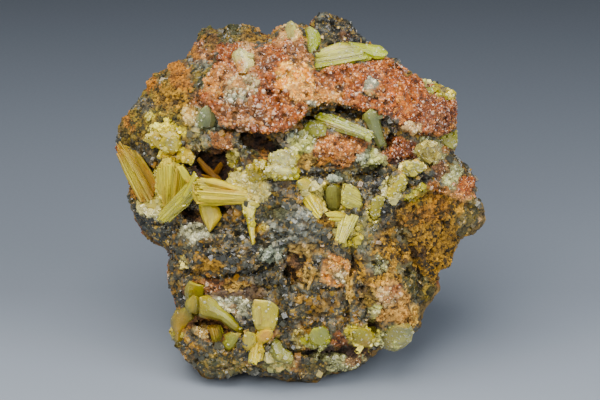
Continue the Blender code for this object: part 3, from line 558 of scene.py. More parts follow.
# the very dark brown patches below are painted shade in hollows and crevices
PATCHES = [  # u, v, half width, half height, turn, look, strength
    # left shoulder and the top left knob
    (160, 112, 50, 38, -45, "oliveochre", 1.0), (206, 38, 13, 11, 0, "olive", 1.0), (229, 36, 24, 12, 0, "olivedark", 1.0),
    (210, 38, 7, 7, 0, "brown", 0.7), (248, 38, 8, 7, 0, "gold", 0.8), (264, 45, 8, 5, 0, "black", 1.0),
    (263, 38, 7, 3, 0, "gold", 0.9), (200, 54, 11, 12, -30, "pinkbrown", 1.0), (191, 52, 4, 10, -40, "orangeochre", 0.9),
    (224, 51, 11, 9, 0, "rust", 1.0), (204, 76, 18, 16, -20, "olivedark", 1.0), (199, 64, 7, 5, 0, "steel", 0.7),
    (178, 76, 12, 15, -15, "brightorange", 0.95), (155, 82, 8, 8, 0, "brightorange", 1.0),
    (164, 79, 11, 4.5, -35, "olivedark", 0.9), (172, 98, 19, 12, -10, "gold", 0.95), (196, 93, 6, 6, 0, "crevice_shade", 0.9),
    (142, 104, 9, 11, -50, "black", 0.9), (127, 122, 7, 12, -35, "orangeochre", 0.9), (152, 122, 20, 10, -40, "oliveochre", 0.7),
    (150, 116, 6, 4, 0, "yellowgreen", 0.6), (189, 114, 8, 9, 0, "cream", 0.9), (197, 101, 9, 6, 0, "pinkbrown", 0.9),
    (206, 119, 11, 13, -10, "greyquartz", 1.0), (216, 112, 9, 11, -30, "black", 1.0), (208, 131, 10, 4, 0, "black", 0.9),
    (164, 133, 19, 9, -5, "yellowgreen", 0.95), (128, 136, 12, 9, 20, "oliveochre", 0.8),
    # top lump
    (324, 30, 12, 17, 0, "black", 1.0), (352, 35, 17, 12, 25, "black", 1.0), (344, 35, 7, 4, 20, "pinkbrown", 0.8),
    (327, 43, 8, 5, 0, "olive", 0.8), (314, 25, 3, 7, -20, "pinkbrown", 0.8), (388, 57, 5, 4, 0, "black", 1.0),
    # left middle
    (197, 141, 14, 15, 0, "greydark", 1.0), (221, 142, 12, 12, 0, "pink", 1.0), (214, 167, 25, 17, 0, "crevice_shade", 1.0),
    (256, 147, 18, 14, 0, "crevice_shade", 1.0), (246, 148, 7, 8, 0, "greydark", 1.0), (256, 155, 5, 5, 0, "olive", 0.9),
    (265, 152, 5, 7, 0, "orangeochre", 0.8), (236, 160, 4, 10, -15, "yellowgreen", 0.9), (246, 169, 5, 12, -25, "black", 0.9),
    (150, 176, 10, 14, -30, "crevice_shade", 0.9), (142, 148, 14, 9, 20, "black", 0.9), (160, 190, 30, 22, 0, "yellowgreen", 0.7),
    (132, 178, 9, 26, -20, "orangeochre", 0.9), (259, 189, 5, 7, 0, "greyquartz", 0.9),
    (240, 180, 12, 8, 0, "yellowgreen", 0.9), (232, 210, 8, 5.5, 0, "pink", 0.9), (196, 216, 20, 6, 10, "crevice_shade", 0.9),
    (149, 226, 24, 17, 45, "black", 1.0), (152, 210, 12, 8, 20, "whitegrey", 0.8), (195, 237, 17, 15, 0, "whitegrey", 1.0),
    (199, 246, 10, 7, 0, "white", 0.8), (227, 231, 18, 15, 0, "black", 1.0), (180, 244, 9, 9, 0, "blackochre", 0.9),
    (217, 218, 6, 5, 0, "brown", 0.8),
    # centre
    (281, 166, 17, 12, 0, "white", 1.0), (257, 171, 9, 8, 0, "yellowgreen", 1.0), (295, 138, 8, 8, 0, "greyquartz", 1.0),
    (297, 149, 10, 7, 0, "steel", 1.0), (296, 188, 7, 11, 0, "cream", 1.0), (275, 212, 50, 44, 0, "blackochre", 1.0),
    (276, 188, 15, 10, 0, "black", 0.9), (251, 191, 16, 13, -10, "creamyellow", 1.0), (299, 226, 30, 22, 0, "steel", 1.0), (274, 212, 14, 8, 0, "olive", 0.7),
    (265, 226, 4, 4, 0, "creamyellow", 0.9), (252, 240, 6, 9, 0, "black", 0.9), (284, 240, 15, 9, 0, "steel", 0.8),
    # right of the middle
    (340, 148, 28, 16, 5, "orangepink", 1.0), (326, 161, 11, 5, -15, "brightorange", 0.9), (303, 142, 14, 9, 0, "palegreen", 1.0),
    (305, 160, 12, 8, 0, "ochrecream", 0.9), (322, 178, 24, 6.5, 0, "black", 0.95), (306, 182, 6, 6, 0, "creamyellow", 0.9),
    (338, 177, 6, 5, 0, "greyquartz", 0.9), (374, 158, 14, 9, 0, "palegreen", 0.95), (365, 157, 6, 6, 0, "greyquartz", 0.8),
    (401, 151, 17, 13, 0, "darkred", 1.0), (396, 144, 9, 8, 0, "rust", 0.8), (430, 153, 14, 13, 0, "greygreen", 1.0),
    (445, 146, 8, 9, 0, "rustochre", 0.8), (413, 170, 11, 8, 0, "creamyellow", 1.0), (383, 177, 12, 13, 0, "black", 1.0),
    (418, 180, 24, 6, -12, "black", 0.95), (392, 210, 9, 21, 35, "black", 0.95), (370, 191, 7, 13, 10, "black", 0.95),
    (354, 176, 9, 6, 0, "greydark", 0.9), (366, 231, 12, 22, 5, "greydark", 1.0), (395, 187, 13, 9, -50, "yellowgreen", 0.9),
    (375, 212, 6, 14, 10, "yellowgreen", 0.7), (430, 195, 22, 8, -15, "rustochre", 1.0), (417, 197, 11, 6, -15, "greenyellow", 0.9),
    (452, 178, 10, 13, 0, "greygreen", 1.0), (440, 170, 10, 8, 0, "pinkbrown", 0.7), (464, 184, 11, 8, 0, "rust", 1.0),
    (462, 200, 12, 9, 0, "pink", 1.0), (430, 240, 52, 44, -30, "limonite", 1.0), (470, 217, 11, 20, 20, "olivedark", 0.9),
    (428, 214, 26, 10, -15, "orangeochre", 0.7), (404, 232, 10, 12, 0, "greydark", 0.6), (418, 256, 14, 9, -30, "crevice_shade", 0.7),
    (327, 223, 12, 6.5, 0, "gold", 1.0), (330, 200, 18, 15, 0, "yellowgreen", 0.7), (350, 232, 12, 14, 0, "yellowgreen", 0.7),
    # lower left
    (214, 262, 52, 22, 0, "blackochre", 1.0), (238, 254, 30, 7, -8, "black", 0.8), (208, 269, 15, 7, 0, "gold", 0.9),
    (184, 263, 5, 7, 0, "creamyellow", 0.9), (176, 272, 7, 18, 0, "blackochre", 1.0), (222, 292, 40, 14, 0, "brown", 1.0),
    (235, 293, 30, 9, 0, "black", 0.6), (210, 287, 9, 6, 0, "pinkbrown", 0.9), (236, 283, 14, 4, -8, "ochrecream", 0.9),
    (268, 256, 12, 8, 0, "greyquartz", 0.9), (261, 275, 14, 11, 0, "black", 0.9), (234, 304, 19, 8, 10, "whitegrey", 1.0),
    (228, 308, 8, 4, 25, "white", 0.8), (245, 319, 10, 10, 0, "black", 1.0), (210, 330, 25, 14, 10, "brown", 0.9),
    (203, 334, 10, 8, 0, "cream", 0.7), (191, 340, 10, 10, 0, "blackochre", 0.9), (194, 358, 22, 14, 30, "blackochre", 1.0),
    (224, 366, 26, 12, 0, "olivedark", 1.0), (265, 333, 9, 7, 0, "peach", 1.0), (246, 353, 7, 7, 0, "black", 0.9),
    (268, 349, 5, 9, 0, "black", 0.9), (287, 362, 10, 7, 0, "peach", 0.8), (178, 330, 8, 16, 0, "yellowgreen", 0.6),
    # lower middle
    (300, 304, 42, 44, 0, "blackochre", 1.0), (291, 266, 14, 12, 0, "brown", 0.7), (306, 276, 9, 9, 0, "ochrecream", 0.8),
    (283, 282, 4, 26, -5, "black", 0.8), (303, 252, 16, 6, 10, "ochrecream", 0.6), (334, 273, 16, 17, 20, "peach", 1.0),
    (338, 278, 9, 8, 0, "white", 0.9), (346, 292, 5, 20, 0, "ochrecream", 0.95), (316, 320, 28, 16, 0, "blackochre", 0.9),
    (297, 298, 5, 5, 0, "gold", 0.9), (318, 306, 10, 5, 20, "gold", 0.6), (318, 339, 14, 10, 0, "palegreen", 1.0),
    (301, 340, 9, 8, 0, "creamyellow", 0.7), (341, 341, 7, 5, 0, "rust", 0.7), (340, 362, 30, 10, 0, "greygreen", 0.9),
    (318, 366, 14, 7, 0, "olivedark", 0.9), (352, 357, 10, 7, -30, "pinkbrown", 0.8), (278, 362, 14, 12, 0, "palegreen", 0.6),
    # lower right
    (386, 268, 36, 22, 0, "limonite", 1.0), (376, 262, 12, 9, 0, "greygreen", 0.9), (403, 268, 9, 8, 0, "greydark", 0.9),
    (366, 258, 8, 12, 0, "black", 0.8), (385, 300, 25, 21, 0, "tan", 1.0), (386, 297, 15, 11, 0, "pinkwhite", 0.9),
    (394, 290, 7, 5, 0, "rust", 0.9), (368, 300, 8, 14, 0, "oliveochre", 0.8), (413, 284, 15, 13, 0, "olivedark", 1.0),
    (428, 293, 8, 12, 0, "oliveochre", 1.0), (414, 319, 7, 17, 5, "ochrecream", 1.0), (374, 328, 6, 9, -15, "crevice_shade", 1.0),
    (362, 337, 15, 12, 0, "yellowgreen", 1.0), (394, 339, 20, 13, 0, "palegreen", 1.0), (402, 318, 11, 11, 0, "tan", 0.9),
    (344, 351, 42, 4, 0, "crevice_shade", 0.9), (372, 312, 7, 7, 0, "palegreen", 0.8),
]
# the very dark brown patch under the shelf's lower edge is painted shade in the crevice
SHELF_PATCHES = [
    (214, 84, 16, 16, 0, "peach", 0.9), (226, 78, 12, 11, 0, "pink", 0.9), (240, 90, 18, 14, -20, "white", 0.8), (236, 84, 5, 4, 0, "peach", 0.8), (247, 97, 5, 4, 0, "pinkgrains", 0.8), (231, 95, 4, 4, 0, "pinkbrown", 0.8),
    (234, 102, 12, 9, 0, "greyquartz", 0.7), (248, 60, 15, 14, 0, "pinkwhite", 0.7), (262, 62, 10, 14, 0, "pinkbrown", 0.8),
    (260, 64, 5, 5, 0, "darkred", 0.9), (296, 76, 20, 19, 10, "peachwhite", 1.0), (306, 92, 20, 12, 0, "peach", 0.8),
    (245, 116, 28, 14, 5, "pinkgrains", 1.0), (272, 100, 18, 16, 0, "rust", 0.7), (300, 46, 14, 22, 0, "pinkbrown", 0.9),
    (292, 31, 9, 9, 0, "cream", 0.8), (281, 35, 5, 7, 0, "pinkwhite", 0.7), (325, 99, 17, 10, 0, "peach", 0.95),
    (373, 75, 9, 6, 30, "darkred", 0.95), (369, 84, 8, 6, -10, "greyquartz", 0.85), (367, 95, 12, 4, 10, "greydark", 0.75),
    (348, 82, 14, 14, 0, "orange", 0.6), (398, 96, 21, 15, 20, "orange", 0.9), (437, 113, 20, 24, 0, "darkred", 0.75),
    (443, 90, 12, 5, 35, "greenyellow", 0.8), (428, 83, 7, 4, 0, "palegreen", 0.9), (390, 121, 11, 9, 15, "black", 0.95),
    (411, 127, 11, 8, -10, "pinkwhite", 1.0), (340, 113, 22, 5, 8, "crevice_shade", 0.85), (314, 106, 6, 5, 0, "greyquartz", 0.8),
    (452, 125, 6, 12, 0, "rustochre", 0.8),
]


# painted shade and painted light: places whose colour is made darker or lighter to stand in for how the light falls,
# such as the strongly lit top lump made darker: u, v, half sizes, factor
PAINTED_SHADE_AND_LIGHT = [
    (338, 30, 30, 18, 0.42), (428, 236, 34, 30, 0.74), (226, 36, 34, 12, 0.72), (180, 84, 26, 18, 0.86), (264, 96, 16, 18, 0.86), (298, 226, 26, 20, 0.92),
    (214, 262, 40, 18, 1.06), (334, 273, 14, 14, 1.12), (385, 298, 20, 16, 1.12),
    (230, 230, 15, 12, 0.76), (257, 280, 16, 14, 0.72), (325, 301, 12, 14, 0.88), (245, 322, 9, 9, 1.25), (380, 178, 14, 14, 0.34),
    (240, 366, 16, 9, 1.32), (312, 362, 20, 8, 0.74), (290, 245, 14, 9, 1.22), (188, 272, 12, 12, 1.18), (168, 114, 16, 16, 1.40),
    (148, 104, 14, 14, 1.22), (462, 200, 12, 14, 1.60), (300, 306, 10, 12, 1.14),
]


def linear(colour):
    """sRGB to linear, a little deeper and warmer, as minerals look under a warm lamp."""
    c = np.asarray(colour, float) / 255.0
    c = np.where(c <= 0.04045, c / 12.92, ((c + 0.055) / 1.055) ** 2.4)
    grey = c @ np.array([0.25, 0.65, 0.10])
    c = grey + (c - grey) * 1.18
    return np.clip(c * np.array([0.93, 0.88, 0.62]), 0.004, 1.0)


NOISE = {
    "a": Lattice(9.0, 101), "b": Lattice(4.2, 102), "c": Lattice(2.0, 103), "d": Lattice(9.0, 104),
    "e": Lattice(4.2, 105), "f": Lattice(2.0, 106), "g": Lattice(1.0, 107), "h": Lattice(0.62, 108),
    "i": Lattice(1.5, 109), "j": Lattice(26.0, 110), "k": Lattice(13.0, 111), "l": Lattice(0.9, 112),
}


def paint(p):
    """Colour (linear), kind weights and how far on the front, at points in mm."""
    u, v, w = unplace(p)
    n = {key: noise(p) for key, noise in NOISE.items() if key in "abcdefgil"}
    uu = u + 3.5 * n["a"] + 3.0 * n["b"] + 3.2 * n["c"] + 2.6 * n["g"]
    vv = v + 3.5 * n["d"] + 3.0 * n["e"] + 3.2 * n["f"] + 2.6 * n["l"]
    mix = 0.45 * n["i"] + 0.70 * n["g"] + 0.2 * n["c"]
    colour = np.zeros((len(p), 3))
    kinds = np.zeros((len(p), 5))

    def lay(weight, look):
        nonlocal colour, kinds
        kind, main, second, share = LOOKS[look]
        near = weight > 1e-3
        t = weight[near][:, None]
        part = step((mix[near] + (share - 0.5) * 1.6) / 0.30 + 0.5)[:, None]
        colour[near] = colour[near] * (1 - t) + (linear(main) * (1 - part) + linear(second) * part) * t
        one = np.zeros((1, 5))
        one[0, kind] = 1.0
        kinds[near] = kinds[near] * (1 - t) + one * t

    # what the sides and the back are made of
    lay(np.ones(len(p)), "stone")
    big, mid = NOISE["j"](p) + 0.45 * NOISE["k"](p), NOISE["k"](p + 40.0) + 0.5 * n["d"]
    lay(step((big - 0.02) / 0.22), "blackochre")
    lay(step((-big - 0.12) / 0.22), "limonite")
    lay(step((mid - 0.40) / 0.20), "rust")
    lay(step((-mid - 0.55) / 0.20), "greydark")
    lay(step((n["a"] + 0.4 * n["e"] - 0.85) / 0.12), "greenyellow")
    lay(step((n["d"] + 0.4 * n["b"] - 0.92) / 0.12), "whitegrey")
    front = step((w - rim_depth(v) + 3.0 + 2.0 * n["a"]) / 5.0)
    lay(front, "blackochre")

    def patches(rows, share):
        for cu, cv, ru, rv, turn, look, strength in rows:
            a = math.radians(turn)
            x, y = uu - cu, vv - cv
            d = np.hypot((x * math.cos(a) + y * math.sin(a)) / ru, (-x * math.sin(a) + y * math.cos(a)) / rv)
            lay(step((1.12 - d) / 0.26) * strength * share, look)

    patches(PATCHES, front)
    shelf = SHELF_MAP(uu, vv)
    top = step((w - rim_depth(v) + 6.0) / 5.0)  # the druse runs on over the top edge
    on_shelf = step(shelf / 2.4 + 0.5) * np.maximum(front, top)
    lay(on_shelf, "rust")
    patches(SHELF_PATCHES, on_shelf)
    # painted shade and painted light, by place
    for cu, cv, ru, rv, factor in PAINTED_SHADE_AND_LIGHT:
        t = step((1.2 - np.hypot((u - cu) / ru, (v - cv) / rv)) / 0.5) * front
        colour = colour * (1 - t * (1 - factor))[:, None]
    return colour, kinds, front


def shelf_map(pitch=1.0):
    u, v = np.meshgrid(np.arange(90, 512, pitch), np.arange(-8, 410, pitch))
    return Map(np.clip(polygon_distance(u, v, SHELF), -12, 12), 90, -8, pitch)


SHELF_MAP = shelf_map()


def roughen(p, normals, kinds, front):
    """Fine shape: druse knobs, blocky oxide, spongy limonite. Gives the new points and how deep each lies, 0 to 1."""
    druse, black, ochre, pale, crust = kinds.T
    f1, f2, number, _ = cells(p, 1.25, 51)
    knob = (1 - np.clip(f1 / 0.62, 0, 1) ** 2) * 0.32 - 0.11
    b1, b2, b_number, _ = cells(p, (3.0, 3.0, 2.4), 52)
    block = (number_noise(b_number, 5) - 0.5) * 1.5 * step((b2 - b1) / 0.22) - 0.35 * (1 - step((b2 - b1) / 0.16))
    s1, s2, s_number, _ = cells(p, 1.5, 53)
    small = (number_noise(s_number, 6) - 0.5) * 0.6 * step((s2 - s1) / 0.3) - 0.12 * (1 - step((s2 - s1) / 0.2))
    o1, o2, _, _ = cells(p, (2.3, 2.3, 2.0), 54)
    hole = -1.5 * step((0.42 - o1) / 0.30) + 0.35 * (1 - step((o2 - o1) / 0.22))
    t1, t2, _, _ = cells(p, 1.05, 55)
    little = -0.55 * step((0.40 - t1) / 0.25) + 0.12 * (1 - step((t2 - t1) / 0.25))
    d1, _, d_number, _ = cells(p, 2.7, 56)
    pit = -1.0 * step((0.44 - d1) / 0.30) * (number_noise(d_number, 8) < 0.5) + 0.5 * NOISE["f"](p)
    fine = 0.22 * NOISE["g"](p) + 0.16 * NOISE["h"](p)
    move = (
        druse * (knob + pit + 0.5 * fine) + black * (0.75 * block + small + 0.5 * fine)
        + ochre * (0.8 * hole + little + fine) + pale * (0.9 * knob + 0.5 * small + 0.4 * fine) + crust * (0.6 * knob + 0.6 * block + 0.4 * fine)
    )
    move = move * (0.7 + 0.3 * front)
    move = np.where(p[:, 2] < 1.2, move * np.clip(p[:, 2] / 1.2, 0, 1), move)
    depth = np.clip(-move / 0.9, 0, 1)
    return p + normals * move[:, None], depth


# ================================================================ meshes
def shades(colour):
    return np.concatenate([np.clip(colour, 0, 1), np.ones((len(colour), 1))], 1).astype(np.float32)


def atlas(points, directions):
    """Six views of the specimen side by side; each face is drawn in the one it faces."""
    axis = np.abs(directions).argmax(1)
    sign = directions[np.arange(len(directions)), axis] > 0
    cell = axis * 2 + sign
    low, size = np.array([-53.0, -37.0, -2.0]), np.array([106.0, 74.0, 97.0])
    q = np.clip((points - low) / size, 0, 1)
    flat = np.where((axis == 0)[:, None], q[:, [1, 2]], np.where((axis == 1)[:, None], q[:, [0, 2]], q[:, [0, 1]]))
    out = np.empty((len(points), 2), np.float32)
    out[:, 0] = (cell % 3 + 0.01 + 0.98 * flat[:, 0]) / 3.0
    out[:, 1] = (cell // 3 + 0.01 + 0.98 * flat[:, 1]) / 2.0
    return out


def build(name, points, faces, material, smooth=True, tint=None, finish=None, streak=None, directions=None, sharp=None, speck=None):
    """points in mm; tint, finish, speck by point; streak by corner; directions by face, for the bake's layout."""
    mesh = bpy.data.meshes.new(name)
    count, sides = len(faces), faces.shape[1]
    mesh.vertices.add(len(points))
    mesh.vertices.foreach_set("co", (points * 0.001).astype(np.float32).ravel())
    mesh.loops.add(count * sides)
    mesh.loops.foreach_set("vertex_index", faces.astype(np.int32).ravel())
    mesh.polygons.add(count)
    mesh.polygons.foreach_set("loop_start", np.arange(0, count * sides, sides, dtype=np.int32))
    mesh.update(calc_edges=True)
    mesh.validate()
    if tint is not None:
        layer = mesh.color_attributes.new("tint", "FLOAT_COLOR", "POINT")
        layer.data.foreach_set("color", shades(tint).ravel())
    if finish is not None:
        layer = mesh.attributes.new("finish", "FLOAT", "POINT")
        layer.data.foreach_set("value", np.asarray(finish, np.float32))
    if speck is not None:
        layer = mesh.attributes.new("speck", "FLOAT", "POINT")
        layer.data.foreach_set("value", np.asarray(speck, np.float32))
    corner = faces.ravel()
    if directions is None:
        a, b, c = points[faces[:, 0]], points[faces[:, 1]], points[faces[:, 2]]
        directions = np.cross(b - a, c - a)
    uv = mesh.uv_layers.new(name="OFBake")
    uv.data.foreach_set("uv", atlas(points[corner], np.repeat(directions, sides, axis=0)).ravel())
    if streak is not None:
        uv = mesh.uv_layers.new(name="streak")
        uv.data.foreach_set("uv", streak.astype(np.float32).ravel())
    mesh.uv_layers["OFBake"].active = True
    mesh.polygons.foreach_set("use_smooth", np.full(count, smooth))
    if sharp is not None:
        mesh.set_sharp_from_angle(angle=math.radians(sharp))
    obj = bpy.data.objects.new(name, mesh)
    bpy.context.scene.collection.objects.link(obj)
    mesh.materials.append(material)
    return obj


class Nodes:
    def __init__(self, name):
        self.material = bpy.data.materials.new(name)
        self.material.use_nodes = True
        self.tree = self.material.node_tree
        self.shader = self.tree.nodes["Principled BSDF"]
        self.output = self.tree.nodes["Material Output"]

    def add(self, kind, **values):
        node = self.tree.nodes.new(kind)
        for key, value in values.items():
            if key in node.inputs:
                node.inputs[key].default_value = value
            else:
                setattr(node, key, value)
        return node

    def link(self, out, into):
        self.tree.links.new(out, into)

    def maths(self, operation, a, b=None, clamp=False):
        node = self.add("ShaderNodeMath", operation=operation, use_clamp=clamp)
        for socket, value in zip(node.inputs, (a, b)):
            if value is None:
                continue
            if isinstance(value, (int, float)):
                socket.default_value = value
            else:
                self.link(value, socket)
        return node.outputs[0]

    def mix(self, factor, a, b, blend="MIX"):
        node = self.add("ShaderNodeMix", data_type="RGBA", blend_type=blend)
        for socket, value in ((node.inputs[0], factor), (node.inputs[6], a), (node.inputs[7], b)):
            if isinstance(value, (int, float)):
                socket.default_value = value
            elif isinstance(value, tuple):
                socket.default_value = (*value, 1)
            else:
                self.link(value, socket)
        return node.outputs[2]

    def noise(self, vector, scale, detail=3.0, rough=0.6, distortion=0.0):
        node = self.add("ShaderNodeTexNoise", Scale=scale, Detail=detail, Roughness=rough, Distortion=distortion)
        self.link(vector, node.inputs["Vector"])
        return node.outputs["Fac"]

    def between(self, value, low, high, a=0.0, b=1.0):
        node = self.add("ShaderNodeMapRange", clamp=True)
        for key, number in (("From Min", low), ("From Max", high), ("To Min", a), ("To Max", b)):
            node.inputs[key].default_value = number
        self.link(value, node.inputs["Value"])
        return node.outputs["Result"]


def rock_material(name, dark=(0.012, 0.010, 0.008), bump=0.5, grit=1.0):
    n = Nodes(name)
    where = n.add("ShaderNodeTexCoord").outputs["Object"]
    tint = n.add("ShaderNodeVertexColor", layer_name="tint").outputs["Color"]
    finish = n.add("ShaderNodeAttribute", attribute_name="finish").outputs["Fac"]
    fine = n.noise(where, 2600.0, 3.0, 0.7)
    grain = n.noise(where, 900.0, 3.0, 0.65)
    broad = n.noise(where, 240.0, 2.0, 0.6)
    lift = n.maths("ADD", n.between(fine, 0.3, 0.7, -0.26 * grit, 0.26 * grit), n.between(grain, 0.3, 0.7, -0.20, 0.20))
    bright = n.maths("ADD", lift, 1.0)
    combine = n.add("ShaderNodeCombineColor")
    for socket in combine.inputs[:3]:
        n.link(bright, socket)
    colour = n.mix(1.0, tint, combine.outputs[0], "MULTIPLY")
    pits = n.between(n.noise(where, 1500.0, 2.0, 0.5), 0.36, 0.30, 0.0, 0.75)
    colour = n.mix(pits, colour, dark)
    warm = n.between(broad, 0.52, 0.68, 0.0, 0.35)
    colour = n.mix(n.maths("MULTIPLY", warm, 0.6), colour, (0.30, 0.15, 0.035))
    # ochre threads and crumbs in the black oxide
    speck = n.add("ShaderNodeAttribute", attribute_name="speck").outputs["Fac"]
    threads = n.noise(where, 1250.0, 4.0, 0.75, 0.6)
    ochre = n.maths("MULTIPLY", n.between(threads, 0.535, 0.585, 0.0, 0.85), speck)
    colour = n.mix(ochre, colour, (0.28, 0.175, 0.022))
    n.link(colour, n.shader.inputs["Base Color"])
    rough = n.maths("ADD", n.between(finish, 0.0, 1.0, 0.92, 0.34), n.between(fine, 0.3, 0.7, -0.1, 0.12), clamp=True)
    n.link(rough, n.shader.inputs["Roughness"])
    n.shader.inputs["Specular IOR Level"].default_value = 0.5
    height = n.maths("ADD", n.maths("MULTIPLY", fine, 0.5), grain)
    bumper = n.add("ShaderNodeBump", Strength=bump, Distance=0.0004)
    n.link(height, bumper.inputs["Height"])
    n.link(bumper.outputs["Normal"], n.shader.inputs["Normal"])
    return n.material


def druse_material(name, rough=(0.16, 0.36), coat=0.4):
    """Small iron-stained quartz points: each grain has its own colour and bright faces."""
    n = Nodes(name)
    where = n.add("ShaderNodeTexCoord").outputs["Object"]
    tint = n.add("ShaderNodeVertexColor", layer_name="tint").outputs["Color"]
    fine = n.noise(where, 3200.0, 2.0, 0.6)
    grain = n.noise(where, 1100.0, 2.0, 0.6)
    bright = n.maths("ADD", n.between(fine, 0.3, 0.7, -0.16, 0.16), n.between(grain, 0.3, 0.7, 0.88, 1.14))
    combine = n.add("ShaderNodeCombineColor")
    for socket in combine.inputs[:3]:
        n.link(bright, socket)
    n.link(n.mix(1.0, tint, combine.outputs[0], "MULTIPLY"), n.shader.inputs["Base Color"])
    n.link(n.between(grain, 0.3, 0.7, *rough), n.shader.inputs["Roughness"])
    n.shader.inputs["Coat Weight"].default_value = coat
    n.shader.inputs["Coat Roughness"].default_value = 0.08
    n.shader.inputs["IOR"].default_value = 1.54
    bumper = n.add("ShaderNodeBump", Strength=0.25, Distance=0.0002)
    n.link(fine, bumper.inputs["Height"])
    n.link(bumper.outputs["Normal"], n.shader.inputs["Normal"])
    return n.material


def crystal_material(name, clear=0.22, rough=(0.10, 0.30), absorb=(0.88, 0.84, 0.22), density=140.0, ior=1.9, coat=0.08, subsurface=0.30, streaks=0.8, gloss=0.28):
    """See-through prisms with growth lines along them, frosted and stained in places."""
    n = Nodes(name)
    where = n.add("ShaderNodeTexCoord").outputs["Object"]
    tint = n.add("ShaderNodeVertexColor", layer_name="tint").outputs["Color"]
    finish = n.add("ShaderNodeAttribute", attribute_name="finish").outputs["Fac"]
    along = n.add("ShaderNodeUVMap", uv_map="streak").outputs["UV"]
    stretch = n.add("ShaderNodeMapping")
    stretch.inputs["Scale"].default_value = (2.6, 0.22, 1.0)
    n.link(along, stretch.inputs["Vector"])
    lines = n.noise(stretch.outputs["Vector"], 1.6, 4.0, 0.65)
    fine = n.noise(where, 1800.0, 3.0, 0.65)
    cloud = n.noise(where, 420.0, 3.0, 0.6)
    bright = n.maths("ADD", n.between(lines, 0.3, 0.7, 1.0 - 0.30 * streaks, 1.0 + 0.26 * streaks), n.between(fine, 0.3, 0.7, -0.07, 0.07))
    combine = n.add("ShaderNodeCombineColor")
    for socket in combine.inputs[:3]:
        n.link(bright, socket)
    colour = n.mix(1.0, tint, combine.outputs[0], "MULTIPLY")
    pale = n.maths("MULTIPLY", n.between(cloud, 0.55, 0.74, 0.0, 1.0), 0.12)
    colour = n.mix(pale, colour, (0.76, 0.70, 0.36))
    stain = n.maths("MULTIPLY", n.between(n.noise(where, 700.0, 3.0, 0.7), 0.60, 0.68, 0.0, 1.0), 0.45)
    colour = n.mix(stain, colour, (0.34, 0.19, 0.04))
    n.link(colour, n.shader.inputs["Base Color"])
    rough_value = n.maths("ADD", n.between(cloud, 0.35, 0.65, *rough), n.between(finish, 0.0, 1.0, 0.18, -0.04), clamp=True)
    n.link(rough_value, n.shader.inputs["Roughness"])
    n.shader.inputs["IOR"].default_value = ior
    n.shader.inputs["Specular IOR Level"].default_value = gloss
    n.link(n.between(finish, 0.0, 1.0, 0.0, clear), n.shader.inputs["Transmission Weight"])
    n.shader.inputs["Coat Weight"].default_value = coat
    n.shader.inputs["Coat Roughness"].default_value = 0.06
    n.shader.inputs["Subsurface Weight"].default_value = subsurface
    n.shader.inputs["Subsurface Radius"].default_value = (1.0, 0.9, 0.35)
    n.shader.inputs["Subsurface Scale"].default_value = 0.0016
    bumper = n.add("ShaderNodeBump", Strength=0.35, Distance=0.00025)
    height = n.maths("ADD", n.maths("MULTIPLY", lines, 1.2), n.maths("MULTIPLY", fine, 0.35))
    n.link(height, bumper.inputs["Height"])
    n.link(bumper.outputs["Normal"], n.shader.inputs["Normal"])
    if density:
        volume = n.add("ShaderNodeVolumeAbsorption")
        volume.inputs["Color"].default_value = (*absorb, 1)
        volume.inputs["Density"].default_value = density
        n.link(volume.outputs["Volume"], n.output.inputs["Volume"])
    return n.material


# ================================================================ grains
def frames_for(normals, rng, tilt):
    """An upright direction near each normal and two across it."""
    lean = normals + rng.normal(0, tilt, normals.shape)
    z = lean / np.linalg.norm(lean, axis=1, keepdims=True)
    helper = np.where(np.abs(z[:, :1]) < 0.8, np.array([[1.0, 0, 0]]), np.array([[0, 1.0, 0]]))
    x = np.cross(helper, z)
    x /= np.linalg.norm(x, axis=1, keepdims=True)
    turn = rng.uniform(0, 2 * math.pi, len(z))[:, None]
    y = np.cross(z, x)
    x, y = x * np.cos(turn) + y * np.sin(turn), -x * np.sin(turn) + y * np.cos(turn)
    return x, y, z


def quartz_point():
    """A stubby six-sided prism with a pyramid on it; its foot is in the rock."""
    ring = [(math.cos(k * math.pi / 3), math.sin(k * math.pi / 3)) for k in range(6)]
    points = [(x * 0.92, y * 0.92, -0.7) for x, y in ring] + [(x, y, 0.25) for x, y in ring] + [(0, 0, 1.15)]
    faces = []
    for k in range(6):
        m = (k + 1) % 6
        faces += [(k, m, 6 + m), (k, 6 + m, 6 + k), (6 + k, 6 + m, 12)]
    return np.array(points), np.array(faces)


def spark():
    """A small four-sided point; half of it is in the rock."""
    points = [(1, 0, 0.1), (0, 1, -0.1), (-1, 0, 0.1), (0, -1, -0.1), (0, 0, 1.15), (0, 0, -0.9)]
    faces = [(0, 1, 4), (1, 2, 4), (2, 3, 4), (3, 0, 4), (1, 0, 5), (2, 1, 5), (3, 2, 5), (0, 3, 5)]
    return np.array(points, float), np.array(faces)


def stub():
    """A short six-sided prism with a flat end."""
    ring = [(math.cos(k * math.pi / 3), math.sin(k * math.pi / 3)) for k in range(6)]
    points = [(x * 0.94, y * 0.94, -0.8) for x, y in ring] + [(x, y, 0.62) for x, y in ring] + [(x * 0.8, y * 0.8, 0.74) for x, y in ring]
    faces = []
    for k in range(6):
        m = (k + 1) % 6
        faces += [(k, m, 6 + m), (k, 6 + m, 6 + k), (6 + k, 6 + m, 12 + m), (6 + k, 12 + m, 12 + k)]
    faces += [(12, 13, 14), (12, 14, 15), (12, 15, 16), (12, 16, 17)]
    return np.array(points), np.array(faces)


def block():
    """A rough cube with its corners off."""
    points = np.array([(x, y, z) for x in (-1, 1) for y in (-1, 1) for z in (-1, 1)], float) * 0.72
    faces = [(0, 1, 3), (0, 3, 2), (4, 6, 7), (4, 7, 5), (0, 4, 5), (0, 5, 1), (2, 3, 7), (2, 7, 6), (0, 2, 6), (0, 6, 4), (1, 5, 7), (1, 7, 3)]
    return points, np.array(faces)


